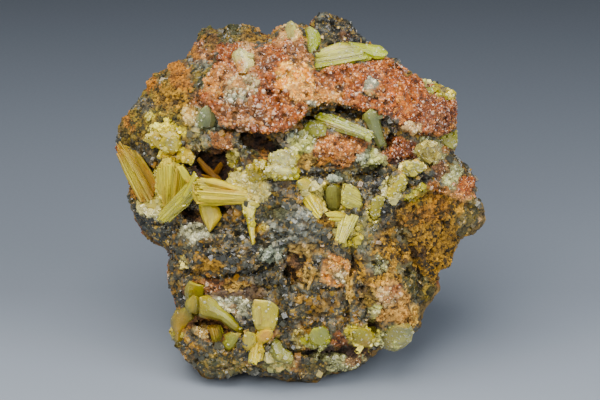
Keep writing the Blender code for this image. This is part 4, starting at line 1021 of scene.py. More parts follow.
class Surface:
    """The finished rock, to scatter grains on."""

    def __init__(self, points, triangles):
        self.points, self.triangles = points, triangles
        a, b, c = points[triangles[:, 0]], points[triangles[:, 1]], points[triangles[:, 2]]
        n = np.cross(b - a, c - a)
        length = np.linalg.norm(n, axis=1)
        self.area = length / 2
        self.face_normals = n / np.maximum(length[:, None], 1e-12)
        self.middles = (a + b + c) / 3
        self.soft = point_normals(points, triangles)

    def pick(self, weight, count, rng):
        share = self.area * weight
        total = share.sum()
        if total <= 0 or count <= 0:
            return np.zeros((0, 3)), np.zeros((0, 3)), np.zeros(0, int)
        steps = np.cumsum(share) / total
        chosen = np.searchsorted(steps, (np.arange(count) + rng.uniform(0, 1, count)) / count).clip(0, len(share) - 1)
        a, b = rng.uniform(0, 1, (2, count))
        over = a + b > 1
        a, b = np.where(over, 1 - a, a), np.where(over, 1 - b, b)
        tri = self.triangles[chosen]
        p = self.points
        at = p[tri[:, 0]] * (1 - a - b)[:, None] + p[tri[:, 1]] * a[:, None] + p[tri[:, 2]] * b[:, None]
        normal = self.soft[tri].mean(1)
        return at, normal / np.maximum(np.linalg.norm(normal, axis=1, keepdims=True), 1e-9), chosen


def grains(template, at, normals, sizes, colours, rng, tilt=0.35, wobble=0.12, squash=(0.8, 1.2), sink=0.1):
    points, faces = template
    count = len(at)
    x, y, z = frames_for(normals, rng, tilt)
    tall = rng.uniform(*squash, count)
    local = points[None] * (1 + rng.uniform(-wobble, wobble, (count, len(points), 3)))
    local = local * sizes[:, None, None]
    local[..., 2] *= tall[:, None]
    out = (
        (at - normals * (sizes * sink)[:, None])[:, None]
        + local[..., :1] * x[:, None] + local[..., 1:2] * y[:, None] + local[..., 2:] * z[:, None]
    )
    corner = faces[None] + (np.arange(count) * len(points))[:, None, None]
    tint = np.repeat(colours[:, None], len(points), 1)
    ways = np.repeat(normals, len(faces), 0)
    return out.reshape(-1, 3), corner.reshape(-1, 3), tint.reshape(-1, 3), ways


def joined(parts):
    points, faces, tints, ways, base = [], [], [], [], 0
    for p, f, t, d in parts:
        points.append(p)
        faces.append(f + base)
        tints.append(t)
        ways.append(d)
        base += len(p)
    return np.concatenate(points), np.concatenate(faces), np.concatenate(tints), np.concatenate(ways)


# ================================================================ crystals
# what shows of each crystal: its outline in the view, its axis (u, v and mm in front of the smooth front),
# thickness in mm, number of ribs along it, how ragged its end is, how flat its front is
SHAPES = {
    "left_edge_sheaf": [
        ([(116, 145), (120, 143), (127, 145), (133, 147), (137, 152), (142, 160), (147, 167), (152, 173), (157, 181), (158, 190), (155, 197), (149, 201), (142, 203), (136, 198), (131, 188), (126, 179), (121, 168), (117, 156)], (151, 201, -2.4), (124, 146, 0.6), 2.6, 27, 0.10, 2.2),
        ([(133, 150), (138, 152), (146, 163), (153, 173), (157, 182), (154, 192), (148, 180), (140, 166)], (155, 192, -1.4), (136, 152, 1.4), 1.7, 9, 0.10, 1.8),
        ([(140, 203), (148, 199), (157, 198), (161, 205), (156, 212), (147, 210)], (159, 203, -3.0), (143, 205, -1.2), 1.7, 8, 0.05, 1.8),
    ],
    "left_fan": [
        ([(157, 168), (161, 163), (169, 161), (177, 162), (184, 165), (190, 172), (192, 181), (189, 190), (186, 198), (182, 206), (176, 213), (168, 216), (162, 214), (159, 205), (157, 195), (156, 185), (155, 176)], (170, 214, -3.6), (173, 163, 3.2), 2.8, 27, 0.12, 2.2),
        ([(160, 172), (164, 164), (170, 162), (174, 167), (174, 182), (172, 200), (167, 208), (162, 200), (159, 186)], (168, 208, -1.0), (167, 164, 4.4), 2.2, 11, 0.05, 1.9),
        ([(177, 167), (182, 165), (187, 171), (192, 179), (188, 183), (183, 178)], (190, 182, 3.4), (180, 166, 5.0), 1.2, 5, 0.03, 1.8),
    ],
    "glossy_prism": [
        ([(194, 173), (199, 178), (204, 185), (198, 195), (189, 207), (179, 215), (164, 225), (157, 221), (158, 214), (165, 207), (175, 197), (184, 187)], (198, 179, 2.4), (160, 220, 7.6), 2.4, 10, 0.03, 2.6),
        ([(181, 199), (188, 185), (194, 171), (198, 177), (193, 188), (186, 200)], (184, 198, 5.2), (195, 172, 4.0), 1.2, 5, 0.02, 2.0),
        ([(158, 215), (166, 209), (178, 205), (186, 205), (178, 213), (165, 222), (159, 221)], (182, 207, 5.2), (161, 219, 7.6), 1.1, 5, 0.02, 2.2),
    ],
    "horizontal_fan": [
        ([(196, 180), (204, 177), (214, 179), (226, 182), (237, 184), (246, 188), (248, 196), (244, 203), (232, 205), (216, 207), (204, 206), (196, 203), (193, 194), (198, 189), (192, 184)], (246, 195, -0.4), (196, 191, 4.2), 2.6, 24, 0.10, 2.4),
        ([(203, 178), (213, 178), (226, 182), (240, 189), (240, 193), (226, 190), (212, 187), (204, 184)], (240, 191, 0.6), (204, 180, 4.8), 1.7, 8, 0.08, 1.8),
        ([(199, 194), (210, 193), (226, 195), (240, 196), (238, 201), (224, 203), (210, 204), (200, 201)], (239, 198, 0.8), (200, 198, 5.0), 1.7, 8, 0.08, 1.8),
    ],
    "tooth_crystal": [
        ([(199, 203), (205, 201), (212, 202), (218, 206), (222, 217), (217, 223), (212, 230), (209.5, 232), (203, 220), (200, 211)], (209.5, 202, -0.8), (210, 232, 2.4), 1.6, 6, 0.0, 1.9),
    ],
    "upper_left_cluster": [
        ([(163, 140), (168, 137), (176, 136), (181, 143), (180, 151), (172, 156), (163, 152)], (171, 155, 1.6), (171, 137, 6.4), 2.4, 6, 0.05, 2.2),
        ([(147, 137), (154, 131), (163, 133), (166, 142), (165, 152), (158, 149), (151, 144)], (162, 150, 0.4), (152, 133, 4.4), 2.0, 7, 0.06, 2.0),
        ([(177, 150), (184, 148), (191, 151), (196, 158), (193, 164), (184, 163), (177, 158)], (179, 152, 1.6), (193, 160, 4.0), 2.0, 6, 0.05, 2.0),
        ([(158, 133), (167, 130), (178, 132), (183, 138), (176, 142), (165, 141)], (180, 138, 0.8), (160, 134, 3.6), 1.7, 6, 0.06, 2.0),
        ([(159, 151), (170, 153), (181, 156), (185, 161), (176, 164), (166, 162), (159, 157)], (179, 159, 0.0), (161, 154, 3.0), 1.7, 7, 0.06, 2.0),
    ],
    "pocket_blades": [
        ([(196, 159), (199, 157), (208, 166), (216, 173), (224, 182), (226, 187), (221, 187), (212, 178), (203, 170)], (224, 186, -8.6), (197, 158, -4.6), 0.8, 4, 0.02, 1.6),
        ([(213, 173), (217, 166), (221, 162), (223, 165), (220, 171), (216, 176)], (215, 175, -7.6), (222, 163, -5.6), 0.6, 3, 0.0, 1.6),
        ([(200, 174), (209, 176), (218, 181), (223, 187), (214, 187), (204, 181)], (222, 186, -8.6), (201, 176, -3.4), 0.7, 4, 0.05, 1.6),
    ],
    "slim_blade": [
        ([(242, 199), (248, 197), (255, 199), (257, 206), (255, 213), (252, 219), (247, 218), (243, 210), (241, 204)], (249, 198, -1.0), (249.5, 218, 1.4), 1.6, 7, 0.04, 1.8),
        ([(245, 211), (250, 209), (254, 213), (254.5, 226), (254.5, 236), (254.5, 244), (252.5, 245), (250, 235), (247.5, 223)], (249, 211, 0.2), (253.4, 244.5, 3.2), 0.9, 4, 0.0, 1.8),
    ],
    "bright_centre_cluster": [
        ([(269, 158), (274, 152), (282, 149), (290, 150), (297, 156), (298, 164), (290, 168), (280, 169), (271, 166)], (285, 168, 0.6), (283, 150, 4.0), 2.6, 8, 0.06, 2.2),
        ([(265, 166), (274, 163), (286, 166), (298, 166), (301, 172), (295, 178), (284, 181), (272, 179), (265, 174)], (292, 178, 0.6), (269, 168, 4.2), 2.6, 8, 0.06, 2.2),
        ([(246, 166), (255, 161), (264, 162), (271, 168), (269, 176), (262, 182), (253, 181), (247, 174)], (265, 178, 0.0), (250, 166, 3.6), 2.3, 8, 0.06, 2.0),
    ],
    "druse_covered_crystal": [
        ([(314, 118), (319, 113), (331, 113), (344, 118), (358, 125), (373, 132), (376, 138), (366, 140), (354, 136), (341, 132), (329, 129), (319, 124)], (317, 117, -2.0), (372, 137, 4.0), 2.1, 10, 0.04, 2.2),
    ],
    "druse_flanked_crystal": [
        ([(302, 124), (310, 120), (320, 121), (327, 128), (325, 136), (314, 138), (304, 133)], (309, 124, -1.6), (320, 132, 1.8), 2.0, 7, 0.04, 2.0),
    ],
    "tall_green_crystal": [
        ([(363, 113), (371, 108), (378, 112), (380, 122), (383, 134), (387, 146), (384, 152), (378, 150), (372, 138), (366, 126), (362, 119)], (382, 149, -3.2), (370, 111, 2.8), 1.7, 6, 0.02, 2.0),
    ],
    "top_large_crystal": [
        ([(313, 71), (313, 61), (318, 52), (328, 45), (340, 41), (349, 42), (358, 48), (367, 54), (372, 58), (364, 61), (352, 66), (340, 66), (328, 69), (319, 72)], (317, 66, -4.0), (364, 53, 4.0), 2.9, 11, 0.03, 2.4),
        ([(348, 42), (362, 44), (381, 46), (388, 53), (383, 60), (374, 60), (366, 56), (355, 49)], (353, 50, -2.6), (386, 54, 19.0), 1.8, 6, 0.02, 2.0),
    ],
    "top_left_crystal": [
        ([(305, 29), (310, 26), (318, 31), (321, 39), (319, 47), (314, 53), (309, 56), (307, 46), (307, 36)], (311, 57, -5.0), (313, 29, 4.8), 1.6, 5, 0.03, 1.9),
    ],
    "pocket_yellow_crystal": [
        ([(301, 192), (308, 188), (316, 191), (321, 198), (323.5, 207), (321, 216), (317.5, 220), (313, 214), (305, 209), (301, 202)], (306, 192, -2.4), (318, 218, 4.6), 2.1, 10, 0.03, 2.2),
        ([(296, 182), (302, 178), (310, 180), (314, 187), (307, 192), (299, 193)], (307, 191, -2.0), (299, 181, 1.8), 1.8, 6, 0.05, 1.9),
    ],
    "pocket_green_crystal": [
        ([(324.5, 187), (333, 184.5), (342, 186), (342, 199), (340, 212), (330, 212), (324, 202)], (334.5, 212, -7.6), (333, 186, -3.2), 2.0, 6, 0.02, 2.6),
    ],
    "pocket_pale_fan": [
        ([(342, 192), (344, 183), (353, 184), (362, 191), (365, 203), (362, 210), (348, 210), (341, 204)], (364, 201, -2.4), (343, 194, 2.4), 1.9, 13, 0.08, 2.0),
        ([(337, 219), (347, 213), (358, 216), (356, 226), (351, 234), (345, 243), (340, 244), (335, 239), (338, 228)], (352, 214, -1.4), (342, 244, 3.4), 2.0, 11, 0.06, 2.2),
    ],
    "pocket_bar": [
        ([(325, 213), (334, 211.5), (344, 212.5), (348, 216), (340, 217.5), (327, 216.5)], (346, 215, -1.0), (326, 214, 2.6), 0.9, 4, 0.03, 1.8),
        ([(329, 217.5), (338, 217.5), (347, 218), (347, 222), (336, 221.5), (328, 220)], (346, 220, -1.4), (329, 218.5, 1.8), 0.8, 3, 0.03, 1.8),
    ],
    "right_edge_green": [
        ([(438, 140), (443, 134), (451, 131), (457, 130), (458, 141), (455, 150), (448, 148), (442, 145)], (441, 143, -5.6), (454, 136, 1.6), 2.2, 6, 0.03, 2.2),
    ],
    "druse_knob": [
        ([(415, 148), (421, 142), (431, 140), (438, 144), (441, 153), (438, 161), (431, 166), (422, 164), (416, 157)], (430, 164, -3.0), (426, 143, 4.4), 3.0, 8, 0.04, 2.2),
    ],
    "pale_tablet_group": [
        ([(402, 168), (408, 162), (416, 161), (423, 164), (425, 171), (420, 177), (411, 179), (404, 176)], (418, 177, -2.0), (410, 163, 3.8), 2.0, 7, 0.05, 2.0),
    ],
    "diagonal_prism": [
        ([(384.5, 197), (390.5, 189), (394, 182), (398, 174), (405, 176), (406, 183), (399, 191), (391, 200), (386, 202), (383, 200)], (386, 201, -2.6), (403, 176, 2.6), 1.7, 6, 0.04, 1.9),
    ],
    "lower_diagonal_prism": [
        ([(368, 211), (372, 199), (378.5, 195), (384.5, 197), (383, 205), (378, 210), (378, 218), (374, 222), (369.5, 218)], (372, 220, -3.2), (380, 196, 1.6), 1.5, 6, 0.04, 1.9),
    ],
    "long_tapered_prism": [
        ([(199, 297), (207, 295), (216, 299), (223, 308), (232, 315), (240, 324), (245, 332), (240, 334), (231, 329), (220, 320), (208, 318), (199, 317)], (243, 333, -2.4), (200, 306, 3.6), 2.5, 8, 0.0, 2.0),
        ([(185, 288), (190, 280.5), (195, 283), (205, 285), (205, 295), (200, 307), (200, 317), (190, 318), (188, 307), (185, 295)], (195, 317, -2.4), (192, 282, 3.6), 2.2, 7, 0.04, 2.0),
        ([(185, 307), (192, 311), (194, 318), (187, 326), (183, 334), (183, 343), (178, 346), (174, 341), (175, 333), (171, 326), (171, 318), (178, 310)], (179, 345, -5.0), (188, 309, 2.0), 2.1, 7, 0.03, 1.9),
        ([(186, 301), (193, 295), (201, 298), (202, 307), (197, 314), (189, 313), (185, 307)], (194, 313, 2.0), (193, 297, 5.0), 1.6, 5, 0.02, 1.8),
    ],
    "pocket_curved_stack": [
        ([(207, 322), (213, 320), (221, 323), (225, 331), (223, 341), (216, 347), (209, 341), (206, 332)], (219, 345, -4.4), (211, 322, -2.4), 1.5, 16, 0.10, 2.2),
        ([(224, 335), (232, 331.5), (241, 334), (238, 343), (232, 351), (225, 352), (221, 346)], (225, 350, -2.6), (239, 334, 0.0), 1.9, 7, 0.04, 2.0),
    ],
    "square_tablet": [
        ([(254.5, 298.5), (268, 300), (275.5, 303.5), (279, 308.5), (278, 317), (276.5, 324), (273, 332), (262, 333), (256, 329), (253, 319), (252, 308)], (262, 333, 1.4), (266, 299, 1.4), 2.2, 5, 0.02, 7.0),
        ([(252, 309), (259, 306), (262, 316), (261, 328), (256, 329), (253, 319)], (258, 328, 2.0), (257, 307, 2.2), 1.9, 4, 0.05, 3.0),
    ],
    "lower_yellow_crystal": [
        ([(250, 344), (258, 340), (265.5, 341), (265, 351), (262.5, 360), (255, 365.5), (247.5, 363), (249, 355)], (258, 341, -0.6), (254, 365, 3.0), 2.0, 10, 0.05, 2.2),
        ([(243, 336), (247, 331.5), (254, 332), (258, 338), (255, 348), (248, 352), (243, 347)], (250, 350, 0.0), (248, 332, 3.0), 2.0, 5, 0.03, 1.9),
        ([(255, 334), (263, 328), (272, 327.5), (273, 335), (267, 342.5), (260, 345), (255, 340)], (259, 343, 0.4), (269, 329, 2.8), 1.9, 5, 0.03, 1.9),
    ],
    "lower_green_crystal": [
        ([(269, 343), (275, 336.5), (281, 341), (284, 348), (292, 353), (293.5, 360), (287, 364), (277, 361.5), (270, 355)], (274, 340, -1.6), (288, 362, 3.0), 2.2, 6, 0.02, 2.0),
    ],
    "low_centre_pair": [
        ([(307, 335), (313, 328), (324, 326), (330.5, 331), (331, 343), (322, 347), (311, 345)], (326, 344, -1.0), (313, 330, 3.4), 2.3, 7, 0.04, 2.1),
        ([(300, 338), (307, 337), (310, 341), (306, 345.5), (301, 344)], (309, 341, 0.0), (301, 341, 2.4), 1.2, 4, 0.04, 1.9),
    ],
    "low_right_yellow": [
        ([(352.5, 331), (360, 327), (370, 331), (376, 336), (376, 346), (367, 349), (357, 346), (352, 338)], (370, 346, -2.0), (358, 329, 2.8), 2.3, 7, 0.05, 2.1),
    ],
    "low_right_green": [
        ([(381, 335), (391, 328), (401, 323), (409, 321), (413, 331), (411, 341), (403, 348), (394, 352), (384, 349), (380, 342)], (394, 350, -2.6), (400, 323, 3.2), 2.8, 8, 0.05, 2.1),
    ],
    "grey_quartz_crystal": [
        ([(195.5, 117.5), (200, 109), (207, 105), (215.5, 112), (218, 120), (214, 129), (205.5, 131), (197, 127)], (205, 130, -1.0), (207, 106, 3.6), 2.5, 6, 0.03, 2.1),
    ],
    "white_quartz_crystal": [
        ([(232, 53), (241, 47.5), (249, 52), (255.5, 61), (256, 67), (250, 69), (247.5, 76), (239, 77), (235, 68), (232.5, 60)], (243, 76, 1.0), (241, 49, 7.4), 2.2, 7, 0.03, 1.9),
    ],
    "top_spike": [
        ([(285, 37), (285.5, 28), (288, 22), (291, 20.5), (295, 24), (297, 30), (296, 38), (291, 42)], (291, 41, -3.4), (289, 22, 16.5), 1.1, 4, 0.0, 1.9),
    ],
    "right_shoulder_crystal": [
        ([(422, 84), (424, 79), (429, 77), (434, 80), (437, 88), (434, 96), (427, 94), (423, 89)], (431, 95, -4.4), (429, 79, 0.6), 1.5, 5, 0.03, 1.9),
    ],
}
# body colour, colour at the root, colour at the tip (sRGB), finish (0 frosted to 1 clear and glossy), stub crystals and grains on it
CRYSTALS = {
    "left_edge_sheaf": ((156, 142, 16), (144, 110, 26), (152, 126, 26), 0.35, 0, 0),
    "left_fan": ((248, 234, 122), (240, 212, 112), (244, 234, 140), 0.5, 0, 0),
    "glossy_prism": ((216, 214, 38), (210, 202, 56), (226, 222, 84), 1.0, 0, 0),
    "horizontal_fan": ((196, 182, 38), (206, 192, 90), (198, 186, 50), 0.45, 0, 0),
    "tooth_crystal": ((190, 176, 36), (206, 194, 90), (182, 164, 34), 0.8, 0, 0),
    "upper_left_cluster": ((186, 174, 56), (160, 142, 44), (204, 196, 104), 0.55, 60, 110),
    "pocket_blades": ((134, 98, 34), (92, 60, 22), (166, 130, 54), 0.4, 0, 0),
    "slim_blade": ((198, 190, 58), (204, 198, 120), (190, 178, 44), 0.5, 8, 30),
    "bright_centre_cluster": ((206, 198, 96), (190, 176, 62), (226, 222, 168), 0.8, 90, 240),
    "druse_covered_crystal": ((174, 184, 122), (160, 168, 70), (200, 206, 156), 0.75, 6, 150),
    "druse_flanked_crystal": ((152, 160, 108), (150, 158, 70), (180, 182, 150), 0.85, 4, 60),
    "tall_green_crystal": ((128, 140, 118), (114, 124, 100), (190, 202, 156), 0.8, 2, 24),
    "top_large_crystal": ((182, 192, 70), (166, 178, 50), (178, 192, 64), 0.8, 4, 160),
    "top_left_crystal": ((150, 166, 46), (140, 150, 50), (184, 192, 100), 0.75, 2, 24),
    "pocket_yellow_crystal": ((218, 206, 84), (222, 212, 140), (214, 200, 64), 0.85, 6, 60),
    "pocket_green_crystal": ((194, 200, 164), (174, 180, 142), (206, 210, 172), 0.9, 0, 16),
    "pocket_pale_fan": ((236, 232, 150), (230, 228, 166), (240, 236, 166), 0.65, 10, 50),
    "pocket_bar": ((222, 216, 110), (206, 176, 80), (228, 226, 150), 0.8, 0, 0),
    "right_edge_green": ((158, 162, 84), (140, 140, 70), (184, 186, 120), 0.7, 4, 30),
    "druse_knob": ((220, 210, 172), (192, 180, 134), (230, 222, 190), 0.7, 40, 170),
    "pale_tablet_group": ((212, 206, 132), (196, 186, 100), (226, 222, 170), 0.5, 12, 150),
    "diagonal_prism": ((198, 190, 92), (188, 176, 80), (208, 202, 124), 0.55, 6, 60),
    "lower_diagonal_prism": ((186, 182, 104), (176, 170, 92), (200, 196, 124), 0.55, 4, 40),
    "long_tapered_prism": ((146, 142, 34), (146, 138, 46), (168, 156, 48), 0.6, 3, 24),
    "pocket_curved_stack": ((182, 176, 96), (166, 156, 90), (200, 176, 96), 0.6, 2, 10),
    "square_tablet": ((178, 170, 80), (168, 158, 72), (190, 182, 96), 0.35, 2, 60),
    "lower_yellow_crystal": ((220, 206, 88), (220, 196, 110), (222, 210, 96), 0.55, 10, 40),
    "lower_green_crystal": ((156, 160, 104), (146, 150, 96), (176, 176, 124), 0.85, 8, 24),
    "low_centre_pair": ((180, 186, 76), (154, 162, 84), (190, 194, 84), 0.75, 2, 16),
    "low_right_yellow": ((186, 176, 78), (168, 158, 74), (192, 184, 92), 0.6, 4, 30),
    "low_right_green": ((216, 216, 168), (194, 194, 138), (232, 232, 194), 0.8, 10, 140),
    "grey_quartz_crystal": ((150, 166, 166), (112, 120, 114), (206, 214, 212), 0.9, 3, 30),
    "white_quartz_crystal": ((224, 220, 200), (214, 150, 90), (232, 232, 222), 0.6, 3, 50),
    "top_spike": ((206, 208, 180), (196, 180, 146), (226, 228, 206), 0.8, 0, 6),
    "right_shoulder_crystal": ((182, 192, 124), (160, 166, 92), (206, 212, 160), 0.7, 3, 40),
}
# places on the crystals with a colour of their own, and painted highlights (the pale spots on the glossy prism and the
# tooth crystal): u, v, half width, half height, turn, colour (sRGB), strength
TONES_AND_HIGHLIGHTS = {
    "left_edge_sheaf": [
        (151, 180, 4, 22, -28, (150, 104, 26), 0.55), (141, 170, 3, 26, -27, (176, 144, 40), 0.5), (118, 149, 5, 6, 0, (184, 132, 56), 0.6),
        (131, 180, 5, 22, -26, (184, 178, 50), 0.5), (150, 205, 10, 5.5, 0, (176, 170, 130), 0.85), (139, 192, 5, 9, -30, (180, 150, 46), 0.4),
    ],
    "left_fan": [
        (177, 186, 3.5, 20, 4, (216, 170, 80), 0.5), (167, 182, 3, 20, 3, (242, 228, 116), 0.5), (163, 198, 3, 14, 0, (222, 190, 104), 0.5),
        (164, 211, 7, 6, 0, (214, 204, 110), 0.7), (185, 173, 5, 9, -35, (194, 196, 96), 0.8), (186, 190, 4, 12, 15, (184, 150, 64), 0.5),
    ],
    # painted highlight: the pale spot near u 167, v 213; the other two are the prism's own colour
    "glossy_prism": [(167, 213, 8, 4, -45, (236, 236, 176), 0.6), (190, 190, 9, 3, -50, (214, 216, 60), 0.5), (176, 210, 12, 3, -40, (188, 182, 44), 0.5)],
    "horizontal_fan": [
        (240, 195, 8, 9, 0, (222, 212, 150), 0.7), (224, 188, 18, 2.2, 12, (190, 140, 50), 0.55), (216, 198, 18, 2.4, -2, (196, 176, 44), 0.5),
        (201, 190, 5, 13, 0, (214, 206, 110), 0.6), (231, 200, 9, 3, 0, (206, 190, 84), 0.5),
    ],
    # painted highlight: the pale spot near u 208, v 206 at the top; the other is the crystal's own colour
    "tooth_crystal": [(208, 206, 5, 3, 0, (222, 216, 140), 0.5), (217, 216, 4, 8, 20, (206, 196, 70), 0.4)],
    "slim_blade": [(249, 204, 8, 7, 0, (206, 200, 150), 0.7), (247, 210, 4, 3.5, 0, (216, 204, 74), 0.9), (253, 214, 3, 8, 0, (186, 186, 120), 0.6)],
    "upper_left_cluster": [
        (171, 145, 7.5, 9, 0, (220, 214, 160), 0.75), (155, 140, 8, 8, 0, (184, 168, 70), 0.7), (188, 157, 8, 5.5, 0, (196, 170, 76), 0.7),
        (171, 135, 11, 4, 0, (176, 162, 72), 0.7), (170, 158, 11, 4.5, 0, (190, 164, 70), 0.7),
    ],
    "bright_centre_cluster": [
        (282, 162, 14, 12, 0, (250, 250, 236), 0.95), (291, 175, 11, 4.5, 0, (188, 188, 72), 0.85), (256, 171, 10, 10, 0, (186, 168, 66), 0.8),
        (275, 177, 7, 4, 0, (190, 186, 90), 0.7),
    ],
    "druse_covered_crystal": [(318, 118, 5, 6, 0, (152, 162, 50), 0.85), (330, 117, 12, 3, 10, (170, 178, 84), 0.6), (332, 126, 12, 3, 15, (206, 160, 120), 0.4)],
    "top_large_crystal": [
        (338, 53, 17, 9, -12, (222, 226, 190), 0.85), (317, 63, 5, 10, 0, (160, 170, 40), 0.8), (376, 52, 12, 7, 0, (170, 188, 58), 0.9),
        (353, 48, 5, 4, 30, (130, 142, 152), 0.6), (345, 63, 20, 3.4, -8, (186, 194, 84), 0.6),
    ],
    "pocket_yellow_crystal": [(303, 186, 9, 6, 0, (222, 216, 170), 0.8), (320, 205, 3.4, 12, 5, (204, 190, 40), 0.8)],
    "pocket_pale_fan": [(347, 190, 5, 7, 0, (222, 222, 156), 0.6), (345, 234, 7, 11, 15, (192, 188, 84), 0.8), (354, 222, 5, 6, 0, (196, 198, 110), 0.6)],
    "square_tablet": [(258, 314, 5, 16, 0, (206, 196, 150), 0.6), (268, 317, 9, 13, 0, (170, 162, 82), 0.6), (273, 304, 8, 3, 30, (196, 194, 104), 0.6), (256, 302, 5, 5, 0, (190, 160, 90), 0.5)],
    "lower_yellow_crystal": [(248, 341, 6, 9, 0, (222, 214, 150), 0.8), (265, 335, 8, 7, 0, (226, 176, 104), 0.9), (259, 354, 6, 9, 0, (212, 192, 80), 0.7), (250, 359, 4, 6, 0, (216, 212, 140), 0.6)],
    "long_tapered_prism": [(193, 304, 6, 7, 0, (204, 192, 72), 0.7), (190, 286, 7, 6, 0, (192, 182, 74), 0.6), (180, 326, 9, 16, 0, (192, 160, 62), 0.85), (222, 312, 18, 5, 38, (160, 164, 74), 0.7)],
    "pocket_curved_stack": [(213, 330, 8, 9, 0, (204, 168, 88), 0.8), (231, 342, 9, 9, 0, (158, 166, 104), 0.8)],
    "low_centre_pair": [(313, 341, 5, 4, 0, (196, 200, 62), 0.7), (324, 332, 7, 6, 0, (150, 162, 116), 0.7), (305, 341, 6, 4, 0, (204, 202, 84), 0.8)],
    "low_right_yellow": [(366, 343, 9, 4, 0, (178, 128, 84), 0.5), (360, 331, 6, 4, 0, (196, 192, 80), 0.6)],
    "low_right_green": [(391, 345, 10, 3.4, 10, (216, 212, 150), 0.7), (396, 333, 10, 7, 0, (172, 180, 148), 0.6), (408, 330, 4, 9, 0, (130, 142, 96), 0.6)],
    "grey_quartz_crystal": [(206, 114, 6, 7, 0, (190, 206, 212), 0.8), (208, 128, 8, 4, 0, (96, 104, 110), 0.6), (199, 124, 4, 6, 0, (168, 172, 110), 0.6)],
    "white_quartz_crystal": [(240, 66, 5, 8, 0, (216, 130, 58), 0.85), (247, 54, 7, 5, 30, (234, 234, 222), 0.8), (252, 63, 4, 6, 0, (226, 216, 190), 0.6)],
}


def profile(ribs, crown, rng):
    """Across a crystal: where its edges are (-1 to 1), how high each stands, its prism, and how far it is a seam."""
    if ribs > 9:  # prisms side by side
        count = round(ribs / 3)
        cuts = np.linspace(-1, 1, count + 1)
        cuts[1:-1] += rng.uniform(-0.34, 0.34, count - 1) * 2 / count
        q, rise, owner, seam = [-1.0], [0.08], [0], [0.7]
        for n, (a, b) in enumerate(zip(cuts, cuts[1:])):
            top = (1 - abs((a + b) / 2) ** crown) * rng.uniform(0.74, 1.10) + 0.16
            tilt = rng.uniform(-0.14, 0.14)
            for place_in, high in ((0.14, 0.86 - tilt), (rng.uniform(0.36, 0.64), 1.0), (0.88, 0.84 + tilt)):
                q.append(a + place_in * (b - a))
                rise.append(top * high)
                owner.append(n)
                seam.append(0.0)
            q.append(b)
            rise.append((1 - abs(b) ** crown) * rng.uniform(0.44, 0.66) + 0.08)
            owner.append(n)
            seam.append(rng.uniform(0.35, 1.0))
        seam[-1] = 0.7
    else:  # one prism with flat faces
        q = np.array([-1.0, -0.72, -0.20, 0.32, 0.76, 1.0])
        q[1:-1] += rng.uniform(-0.10, 0.10, 4)
        rise = np.array([0.06, 0.74, 1.0, 0.95, 0.66, 0.06])
        rise[1:-1] += rng.uniform(-0.09, 0.09, 4) + rng.uniform(-0.14, 0.14) * q[1:-1]
        if crown > 2.9:
            rise[1:-1] = rng.uniform(0.92, 1.02, 4)
            q[1], q[-2] = -0.9, 0.9
        owner, seam = [0, 0, 1, 2, 3, 3], [0.6, 0.0, 0.0, 0.0, 0.0, 0.6]
    return np.array(q), np.array(rise), np.array(owner), np.array(seam)


